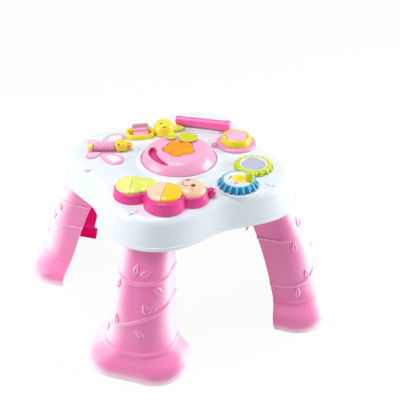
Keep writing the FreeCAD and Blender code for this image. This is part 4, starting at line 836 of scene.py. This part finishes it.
# dial and mirror wheel

wheels = {
    "teeth": 18, "rootHalf": 4.6, "tipHalf": 2.4, "count": 18 * 24, "bottom": 0.8,
    "dialAt": (46.0, -116.0), "mirrorAt": (97.0, -80.0), "dialTop": 12.0, "mirrorTop": 8.6,
    # painted highlight, a paler blue, on the rib tops and the rim: half angle, how far under the top it ends,
    # and the radius where the rim's highlight starts
    "highlightHalf": 2.6, "highlightBelow": 0.6, "highlightRim": 24.0,
}
pitch = 360 / wheels["teeth"]
fromDial = [b - a for a, b in zip(wheels["dialAt"], wheels["mirrorAt"])]
toOther = math.degrees(math.atan2(fromDial[1], fromDial[0]))
dialTop = deckZ + wheels["dialTop"]


# degrees from the middle of the nearest rib
def offRib(angles, phase):
    return np.abs((angles - phase + pitch / 2) % pitch - pitch / 2)


# a ribbed side through (root, tip, height), then the turned inside; heights count from the deck
def ribbedWheel(levels, phase, at, inside):
    count = wheels["count"]
    away = offRib(np.degrees(np.linspace(0, 2 * math.pi, count, endpoint=False)), phase)
    out = smoothStep(wheels["rootHalf"] + 1.2, wheels["tipHalf"] - 1.4, away)
    levels, inside = onDeck(levels, wheels["bottom"]), onDeck(inside)
    rings = [ring(inside[-1][0], levels[0][2], count, at)]
    rings += [ring(root + (tip - root) * out, z, count, at) for root, tip, z in levels]
    rings += [ring(r, z, count, at) for r, z in inside]
    return skin(rings + [rings[0]])


top = wheels["dialTop"]
levels = [(28.4, 32.2, 0), (28.9, 32.8, 0.6), (29.0, 33.0, 2.2), (28.9, 32.8, 4.0), (27.8, 31.2, 6.2),
          (26.6, 29.2, 8.6), (25.9, 27.6, 10.2)]
inside = [(25.8, top - 0.35), (25.3, top), (24.3, top), (23.7, top - 0.3), (23.5, top - 1.2),
          (12.0, top - 1.3)]
dialRibs = ribbedWheel(levels, toOther, wheels["dialAt"], inside)
dialPiece = makePiece("dial_moulding", dialRibs, "dial_wheel", "dial_blue", ["dial"])
# the second material is painted highlight along the ribs and round the rim
dialPiece.data.materials.append(ribHighlightBlue)
for polygon in dialPiece.data.polygons:
    x, y = (polygon.center[k] / mm - wheels["dialAt"][k] for k in (0, 1))
    below = dialTop - polygon.center.z / mm
    onRib = offRib(math.degrees(math.atan2(y, x)), toOther) < wheels["highlightHalf"]
    ribSideHighlight = onRib and below > wheels["highlightBelow"]
    rimHighlight = math.hypot(x, y) > wheels["highlightRim"] and below < 0.5
    polygon.material_index = int(ribSideHighlight or rimHighlight)

top = wheels["mirrorTop"]
levels = [(28.6, 32.0, 0), (29.2, 32.7, 0.8), (29.4, 33.0, 2.6), (29.2, 32.6, 4.6), (28.4, 31.2, 6.2),
          (27.0, 28.9, 7.3)]
inside = [(25.6, top - 0.15), (24.2, top), (23.0, top - 0.4), (22.4, top - 1.0), (22.4, 2.0), (10.0, 2.0)]
mirrorRibs = ribbedWheel(levels, toOther + 180 + pitch / 2, wheels["mirrorAt"], inside)
makePiece("mirror_wheel_moulding", mirrorRibs, "mirror_body", "wheel_lime", ["mirror_wheel"])
bezel = onDeck([(20.1, -3.6), (23.0, -3.6), (23.0, -0.3), (22.0, 0.2), (20.9, -0.6), (20.1, -2.0),
                (20.1, -3.6)], top)
makePiece("mirror_bezel", hoopSkin(bezel, 0.4, 120, wheels["mirrorAt"]), "mirror_body", "wheel_lime",
          material=materials["dial_white"])

# printed disc: a plain sun, two seeds and a leaf, each (x, y, half length, half width, lean, ink, lift)
dialPrint = {
    "ground": (0, 0, 20.8, 20.8, 0, materials["dial_white"], 0.1),
    "sun": (4.6, 0.6, 14.0, 11.0, -32, materials["bird_yellow"], 0.22),
    "glow": (6.1, -0.4, 7.0, 5.5, -32, materials["key_gold"], 0.3),
    "seed_1": (-11.0, 8.5, 2.2, 1.3, 30, inkBlack, 0.22),
    "seed_2": (-6.5, 11.5, 2.2, 1.3, 30, inkBlack, 0.22),
    "leaf": (-9.5, -9.0, 5.0, 2.4, 35, inkPink, 0.22),
}
dialDisc = (lambda x, y: dialTop - 0.1, "dial_wheel", "dial_white")
for name, (dx, dy, *mark) in dialPrint.items():
    printedSpot("dial_print_" + name, dialDisc, (wheels["dialAt"][0] + dx, wheels["dialAt"][1] + dy), *mark)

peg = {"at": (59.2, -128.0), "radius": 7.2, "height": 16.6, "fillet": 2.6}
r, high = peg["radius"], peg["height"]
corners = onDeck([(0, -0.6), (r + 0.6, -0.6), (r, 1.2), (r - 0.3, high - 5.0), (r - 1.4, high - 1.8),
                  (r * 0.45, high - 0.3), (0, high)], wheels["dialTop"])
pegSkin = turnedSkin(corners, 64, peg["at"], peg["fillet"])
makePiece("dial_peg_moulding", pegSkin, "dial_wheel", "lime_leaf", ["dial_peg"])
print("wheels done")


# drum

drum = {"at": (113.4, 3.8), "ring": 26.9, "ringFoot": 4.8, "ringTop": 17.0, "cap": 18.7, "head": (77.6, 13.6),
        "headRadius": 6.4, "seeds": [(-2.6, -1.8), (1.2, -3.4)]}
plate = [(0, 0), (34.2, 0), (35.0, 1.4), (34.0, 4.0), (31.5, 5.2), (28.0, 5.2), (0, 5.0)]
r = drum["headRadius"]
head = [(0, 0), (r - 0.4, 0), (r, 2.0), (r * 0.8, 4.8), (r * 0.4, 6.2), (0, 6.4)]
shape = joined(turnedSkin(onDeck(plate), 120, drum["at"], 1.4),
               turnedSkin(onDeck(head), 48, drum["head"], 1.6))
makePiece("drum_base_moulding", shape, "table", "drum_pink", ["drum_base"])
drumHead = (lambda x, y: deckZ + 5.4, "table", "drum_pink")
for k, (dx, dy) in enumerate(drum["seeds"]):
    seedAt = (drum["head"][0] + dx, drum["head"][1] + dy)
    printedSpot(f"drum_head_seed_{k + 1}", drumHead, seedAt, 1.3, 0.9, 20, antennaPink)
low, high = drum["ringFoot"], drum["ringTop"]
hoop = [(18.9, low), (26.6, low), (drum["ring"], low + 2.4), (26.0, low + 5.6), (24.4, high - 2.2),
        (22.4, high - 0.4), (21.0, high), (19.5, high - 0.5), (18.9, high - 2.0), (18.9, low)]
hoopShape = hoopSkin(onDeck(hoop), 1.8, 120, drum["at"])
makePiece("drum_ring_moulding", hoopShape, "table", "drum_lime", ["drum_ring"])
cap = [(0, low + 4.5), (drum["cap"], low + 4.5), (drum["cap"], high - 1.0), (17.6, high + 0.2),
       (12.0, high + 1.4), (6.0, high + 1.9), (0, high + 2.0)]
capSkin = turnedSkin(onDeck(cap), 120, drum["at"], 2.0)
makePiece("drum_cap_moulding", capSkin, "drum", "drum_cap", ["drum_button"])
print("drum done")


# bird beside a paddle in a tray

bird = {
    "at": (-20.0, 109.0), "turn": -16.0,
    "tray": [(24.0, 17.0, 13.0, 0), (25.0, 18.0, 13.6, 2.2), (24.8, 17.8, 13.4, 5.4), (23.4, 16.6, 12.0, 8.2),
             (21.6, 15.4, 10.6, 9.0), (19.6, 14.0, 9.0, 8.4), (18.5, 13.3, 8.2, 6.4),
             (18.3, 13.1, 8.0, -4.2), (0, -4.2)],
    "axle": 11.0, "ear": 16.2, "earHalf": 4.3, "earThick": 3.0,
    "vanes": 3, "vane": 12.0, "width": 27.6, "bar": 5.2,
    "head": (42.6, -0.6), "headReach": (18.6, 18.6, 17.2), "headMiddle": 8.0, "headPower": 2.15,
    # beak and wing tip: middle's height, half sizes, taper, bearing and distance from the head's middle
    "tips": [(4.6, (12.5, 6.0, 4.8), 0.25, 6, 25.5), (4.4, (11.0, 7.4, 4.8), 0.15, -60, 22.5)],
    "eye": (12.9, 91.4), "mouth": [(12.7, 84.6), (14.2, 83.2), (15.8, 82.9), (17.4, 83.7)],
}
half, axleZ = bird["earHalf"], deckZ + bird["axle"]
floorZ = deckZ + bird["tray"][-1][-1]
trayParts = [boxSkin(onDeck(bird["tray"]), lambda x, y: (x * (1.05 if x < 0 else 1.0), y))]
earArc = [(-half * math.cos(t), axleZ + half * math.sin(t)) for t in np.linspace(0, math.pi, 20)]
ear = np.array([(-half, floorZ), *earArc, (half, floorZ)])
for side in (-1, 1):
    low, high = side * bird["ear"] - bird["earThick"] / 2, side * bird["ear"] + bird["earThick"] / 2
    rings = [point(low, 0.0, axleZ)]
    for x, share in ((low, 0.86), (low + 0.5, 1.0), (high - 0.5, 1.0), (high, 0.86)):
        rings.append(np.array([(x, y * share, axleZ + (z - axleZ) * share) for y, z in ear]))
    trayParts.append(skin(rings + [point(high, 0.0, axleZ)]))
makePiece("bird_tray_moulding", joined(*trayParts), "table", "bird_yellow", ["bird_tray"], group=bird)

tip = bird["vane"]
vane = [(-2.0, 0.0), (-1.7, tip - 3.0), (-1.9, tip - 1.6), (-1.2, tip - 0.3), (0.0, tip),
        (1.2, tip - 0.3), (1.9, tip - 1.6), (1.7, tip - 3.0), (2.0, 0.0)]
half, r = bird["width"] / 2, bird["bar"]
blades = []
for k in range(bird["vanes"]):
    rings = [point(-half, 0.0, axleZ)]
    turned = [swing(y, z, 360 * k / bird["vanes"]) for y, z in vane]
    for x, share in ((-half, 0.8), (0.7 - half, 0.97), (2.0 - half, 1.0), (half - 2.0, 1.0),
                     (half - 0.7, 0.97), (half, 0.8)):
        rings.append(np.array([(x, y * share, axleZ + z * share) for y, z in turned]))
    blades.append(skin(rings + [point(half, 0.0, axleZ)]))
barProfile = [(0, -half), (r - 1.0, -half), (r, 1.0 - half), (r, half - 1.0), (r - 1.0, half), (0, half)]
makePiece("paddle_flaps", joined(*blades), "paddle_wheel", "paddle_pink", material=flapRose, group=bird)
barSkin = lyingSkin(barProfile, bird["axle"], 36)
makePiece("paddle_bar", barSkin, "paddle_wheel", "paddle_pink", ["paddle"], group=bird)

headShape = pebble((*bird["head"], deckZ + bird["headMiddle"]), bird["headReach"], bird["headPower"], deckZ)
makePiece("bird_head_moulding", headShape, "table", "bird_yellow", ["bird_head"], group=bird)
tips = []
for middle, reach, taper, turn, far in bird["tips"]:
    verts, faces = pebble((0, 0, deckZ + middle), reach, 2.2, deckZ, taper)
    tips.append(([(*swing(x + far, y, turn, bird["head"]), z) for x, y, z in verts], faces))
makePiece("bird_beak_moulding", joined(*tips), "table", "beak_lime", ["bird_beak"], group=bird)


# height over the plan of a pebble that stands in a group
def pebbleHeight(group, centre, reach, middle, power):
    def height(x, y):
        x, y = swing(x - group["at"][0], y - group["at"][1], -group["turn"])
        d = (abs(x - centre[0]) / reach[0]) ** power + (abs(y - centre[1]) / reach[1]) ** power
        return middle + reach[2] * (1 - min(d, 0.999)) ** (1 / power)
    return height


# this one takes its ellipse along the table's axes
birdFlat = {"at": swing(*bird["head"], bird["turn"], bird["at"]), "turn": 0}
birdHeight = pebbleHeight(birdFlat, (0, 0), bird["headReach"], deckZ + bird["headMiddle"], bird["headPower"])
birdHead = (birdHeight, "table", "bird_yellow")
printedSpot("bird_eye", birdHead, bird["eye"], 1.9, 1.3, -20, inkBlack)
printedLine("bird_smile", birdHead, bird["mouth"], 0.6, inkBlack)
print("bird done")


# bee with a ribbed roller between its wings

bee = {
    "at": (-97.0, 89.0), "turn": -27.6,
    "ribs": 9, "length": 35.0, "radius": 7.7, "ribDepth": 0.95, "axle": 5.6, "seat": 2.3,
    "pan": [(28.6, 10.9, 5.0, 0), (29.0, 11.3, 5.4, 1.2), (28.2, 10.9, 5.0, 2.2), (22.4, 10.4, 4.0, 2.4),
            (20.8, 9.8, 3.4, 1.8), (20.6, 9.7, 3.3, -4.2), (0, -4.2)],
    # wings: middle, lean, half length, half width
    "wings": {"big_back": (12.0, 35.5, 40, 22.5, 14.6), "big_front": (14.0, -31.0, -40, 22.5, 14.6),
              "small_back": (-17.5, 21.5, 150, 14.0, 8.2), "small_front": (-17.0, -20.0, 212, 14.0, 8.4)},
    "patchOut": 3.5, "patchLong": 0.6, "patchWide": 0.5, "dots": (-3.5, 4.5),
    "tail": 5.0, "head": (11.2, 10.4, 9.6), "headMiddle": 8.6, "headPower": 2.7,
    "eyes": [(-78.4, 70.2), (-72.3, 71.4)],
}


# a rounded wing or a patch on one, wide at the far end, through (share of its size, height over the deck)
def wingSkin(x0, y0, lean, long, wide, steps, top, count=72):
    rings = []
    for share, up in steps:
        points = []
        for t in np.linspace(0, 2 * math.pi, count, endpoint=False):
            u, v = math.cos(t) * share, math.sin(t) * share
            points.append(swing(long * u, wide * v * (1 + 0.34 * u), lean, (x0, y0)))
        rings.append(level(points, deckZ + up))
    return skin(rings + [point(x0, y0, deckZ + top)])


wingSteps = ((0.985, 0.0), (1.0, 0.8), (0.99, 1.9), (0.95, 2.6), (0.9, 2.7), (0.86, 2.3), (0.8, 2.1),
             (0.4, 2.3))
fieldSteps = ((0.84, 1.9), (0.84, 2.45), (0.8, 2.6), (0.3, 2.7))
patchSteps = ((1.0, 2.5), (1.0, 2.95), (0.9, 3.1))
wingSkins = [wingSkin(*wing, wingSteps, 2.35) for wing in bee["wings"].values()]
wingsShape = joined(boxSkin(onDeck(bee["pan"])), *wingSkins)
makePiece("bee_wings_moulding", wingsShape, "table", "bee_pink", ["bee_wings"], group=bee)
for name, (x0, y0, lean, long, wide) in bee["wings"].items():
    field = wingSkin(x0, y0, lean, long, wide, fieldSteps, 2.75)
    makePiece("wing_field_" + name, field, "table", "bee_pink", material=wingPale, group=bee)
    if "big" not in name:
        continue
    spot = swing(bee["patchOut"], 0, lean, (x0, y0))
    patch = wingSkin(*spot, lean, long * bee["patchLong"], wide * bee["patchWide"], patchSteps, 3.12, 48)
    makePiece("wing_white_" + name, patch, "table", "bee_pink", material=inkWhite, group=bee)
    for k, along in enumerate(bee["dots"]):
        dot = pebble((*swing(along, 0, lean, spot), deckZ + 3.0), (1.9, 1.5, 0.4), 2.0, None, 0, 24, 8)
        makePiece(f"wing_dot_{name}_{k + 1}", dot, "table", "bee_pink", group=bee)

half = bee["length"] / 2
ribs = [(0, -half)]
for x in np.linspace(-half, half, bee["ribs"] * 8 + 1):
    wave = abs(math.sin(math.pi * (x + half) / (bee["length"] / bee["ribs"]))) ** 0.5
    ribs.append((bee["radius"] - bee["ribDepth"] * (1 - wave), x))
ribs.append((0, half))
rollerSkin = lyingSkin(ribs, bee["axle"], 64)
makePiece("bee_roller_moulding", rollerSkin, "roller", "bee_pink", ["bee_roller"], group=bee)
half += 0.4
seatZ, headX, headZ = deckZ + bee["seat"], half + bee["head"][0], deckZ + bee["headMiddle"]
tail = pebble((-half - bee["tail"], 0, deckZ + 5.2), (bee["tail"], 8.0, 8.2), 3.0, seatZ)
head = pebble((headX, 0, headZ), bee["head"], bee["headPower"], seatZ)
snout = pebble((headX + bee["head"][0] + 1.6, 0.6, deckZ + 8.4), (5.4, 6.6, 5.4), 2.4, seatZ, 0.12)
makePiece("bee_tail_moulding", tail, "table", "bee_yellow", ["bee_tail"], tailCream, bee)
makePiece("bee_head_moulding", head, "table", "bee_yellow", ["bee_head"], group=bee)
makePiece("bee_snout", snout, "table", "bee_yellow", material=beakGold, group=bee)
beeHead = (pebbleHeight(bee, (headX, 0), bee["head"], headZ, bee["headPower"]), "table", "bee_yellow")
for k, eye in enumerate(bee["eyes"]):
    printedSpot(f"bee_eye_{k + 1}", beeHead, eye, 1.7, 1.2, 60, inkBlack)
print("bee done")


# handset on its rest

handset = {
    "at": (88.0, 77.0), "turn": -42.0, "axis": 12.6, "half": 49.2, "straight": 43.0, "ends": 44.0,
    # radius along the bar, a little thicker towards one end
    "bar": [(-49.2, 6.2), (-48.2, 7.6), (-46.0, 8.4), (-41.0, 8.3), (-34.0, 8.2), (0.0, 8.7), (30.0, 8.9),
            (40.0, 9.2), (45.0, 10.0), (48.0, 10.3), (49.2, 9.0)],
    "feet": [(-36.0, 6.4), (36.0, 7.4)],
    "rest": [(37.0, 8.4, 8.0, 0), (37.4, 8.8, 8.4, 1.0), (36.2, 7.4, 7.0, 2.6), (33.0, 6.2, 5.8, 3.6),
             (0, 3.7)],
}
half, straight, ends = handset["half"], handset["straight"], handset["ends"]
xs = [*np.linspace(-half, -ends, 10), *np.linspace(-straight, straight, 30), *np.linspace(ends, half, 10)]
profile = [(0, -half), *((float(smoothCurve(handset["bar"], x)), x) for x in xs), (0, half)]
barParts = [lyingSkin(profile, handset["axis"], 64)]
for x, r in handset["feet"]:
    foot = [(0, 4.2), (r - 1.0, 4.2), (r, 5.4), (r - 0.4, handset["axis"]), (0, handset["axis"])]
    barParts.append(turnedSkin(onDeck(foot), 48, (x, 0), 0.8))
makePiece("handset_moulding", joined(*barParts), "phone_bar", "bar_pink", ["handset"], group=handset)
restSkin = boxSkin(onDeck(handset["rest"]))
makePiece("handset_rest", restSkin, "table", "cradle_white", ["handset_cradle"], group=handset)
print("handset done")


# camera, floor and light

camera = {"azimuth": -27.56, "elevation": 33.07, "distance": 1.507, "target": (0, 0, 0.158), "lens": 78.0,
          "shift": (0.0526, 0.0214)}
a, e = math.radians(camera["azimuth"]), math.radians(camera["elevation"])
back = Vector((math.sin(a) * math.cos(e), -math.cos(a) * math.cos(e), math.sin(e)))
lens = bpy.data.cameras.new("product_camera")
lens.lens = camera["lens"]
lens.sensor_width = 36.0
lens.shift_x, lens.shift_y = camera["shift"]
lens.clip_end = 50.0
viewer = bpy.data.objects.new("product_camera", lens)
viewer.location = Vector(camera["target"]) + back * camera["distance"]
viewer.rotation_mode = "QUATERNION"
viewer.rotation_quaternion = (-back).to_track_quat("-Z", "Y")
bpy.context.scene.collection.objects.link(viewer)
bpy.context.scene.camera = viewer


# one where the lens looks, or where the other kind of ray does
def eitherRay(tree, other):
    rays = addNode(tree, "ShaderNodeLightPath").outputs
    made = addNode(tree, "ShaderNodeMath", {"operation": "MAXIMUM"},
                   {0: rays["Is Camera Ray"], 1: rays[other]})
    return made.outputs["Value"]


# matt white paper: the lens sees it white, and it still takes the table's shadow
def paperWhite(name):
    made, tree, out = newMaterial(name)
    bump = addNode(tree, "ShaderNodeBump", None, {"Height": addNoise(tree, 3.0, 2.0), "Distance": 0.02 * mm})
    diffuse = addNode(tree, "ShaderNodeBsdfDiffuse", None, {
        "Color": (0.86, 0.86, 0.87, 1.0), "Normal": bump.outputs["Normal"]})
    bright = addNode(tree, "ShaderNodeEmission", None, {"Color": (1.0, 1.0, 1.0, 1.0), "Strength": 1.0})
    both = addNode(tree, "ShaderNodeMixShader", None,
                   {0: 0.95, 1: diffuse.outputs["BSDF"], 2: bright.outputs["Emission"]})
    pick = addNode(tree, "ShaderNodeMixShader", None,
                   {0: eitherRay(tree, "Is Glossy Ray"), 1: diffuse.outputs["BSDF"], 2: both.outputs[0]})
    tree.links.new(pick.outputs["Shader"], out.inputs["Surface"])
    return made


floorMesh = bpy.data.meshes.new("floor")
floorMesh.from_pydata([(-6, -6, 0), (6, -6, 0), (6, 6, 0), (-6, 6, 0)], [], [(0, 1, 2, 3)])
floor = bpy.data.objects.new("floor", floorMesh)
bpy.context.scene.collection.objects.link(floor)
floor.location.z = -0.0005
floorMesh.materials.append(paperWhite("matt_white_paper"))

world = bpy.data.worlds.new("soft_room")
bpy.context.scene.world = world
world.use_nodes = True
tree = world.node_tree
tree.nodes.clear()
out = addNode(tree, "ShaderNodeOutputWorld")
shown = addNode(tree, "ShaderNodeBackground", None, {"Color": (1.0, 1.0, 1.0, 1.0), "Strength": 1.0})
# the room is dim behind the camera and light on the far side, so faces turned to the lens stay deeper
away = addNode(tree, "ShaderNodeVectorMath", {"operation": "DOT_PRODUCT"},
               {0: addNode(tree, "ShaderNodeTexCoord").outputs["Generated"], 1: (-back.x, -back.y, 0.15)})
bright = addNode(tree, "ShaderNodeMapRange", None, {
    "Value": away.outputs["Value"], "From Min": -0.8, "From Max": 0.8, "To Min": 0.22, "To Max": 0.6})
room = addNode(tree, "ShaderNodeBackground", None, {
    "Color": hexToLinear("#F2F5FA"), "Strength": bright.outputs["Result"]})
pick = addNode(tree, "ShaderNodeMixShader", None, {
    0: eitherRay(tree, "Is Transmission Ray"), 1: room.outputs["Background"], 2: shown.outputs["Background"]})
tree.links.new(pick.outputs["Shader"], out.inputs["Surface"])


# soft boxes: place and size in metres, power in watts, colour
lamps = {
    "top_softbox": ((-0.4, 0.1, 2.2), 1.2, 21, "#FFFEFB"),
    "left_softbox": ((-1.7, 0.5, 0.9), 1.1, 17, "#FFFFFF"),
    "right_softbox": ((1.75, -0.6, 0.7), 1.1, 30, "#FFFFFF"),
    "front_softbox": ((-0.4, -2.1, 1.1), 1.4, 2.4, "#FFFFFF"),
}
for name, (place, size, power, code) in lamps.items():
    data = bpy.data.lights.new(name, "AREA")
    data.energy = power
    data.size = size
    data.color = hexToLinear(code)[:3]
    lamp = bpy.data.objects.new(name, data)
    lamp.location = place
    lamp.rotation_mode = "QUATERNION"
    lamp.rotation_quaternion = (Vector((0, 0, 0.15)) - Vector(place)).to_track_quat("-Z", "Y")
    bpy.context.scene.collection.objects.link(lamp)


bpy.context.scene.view_settings.view_transform = "Standard"
print("stage done")
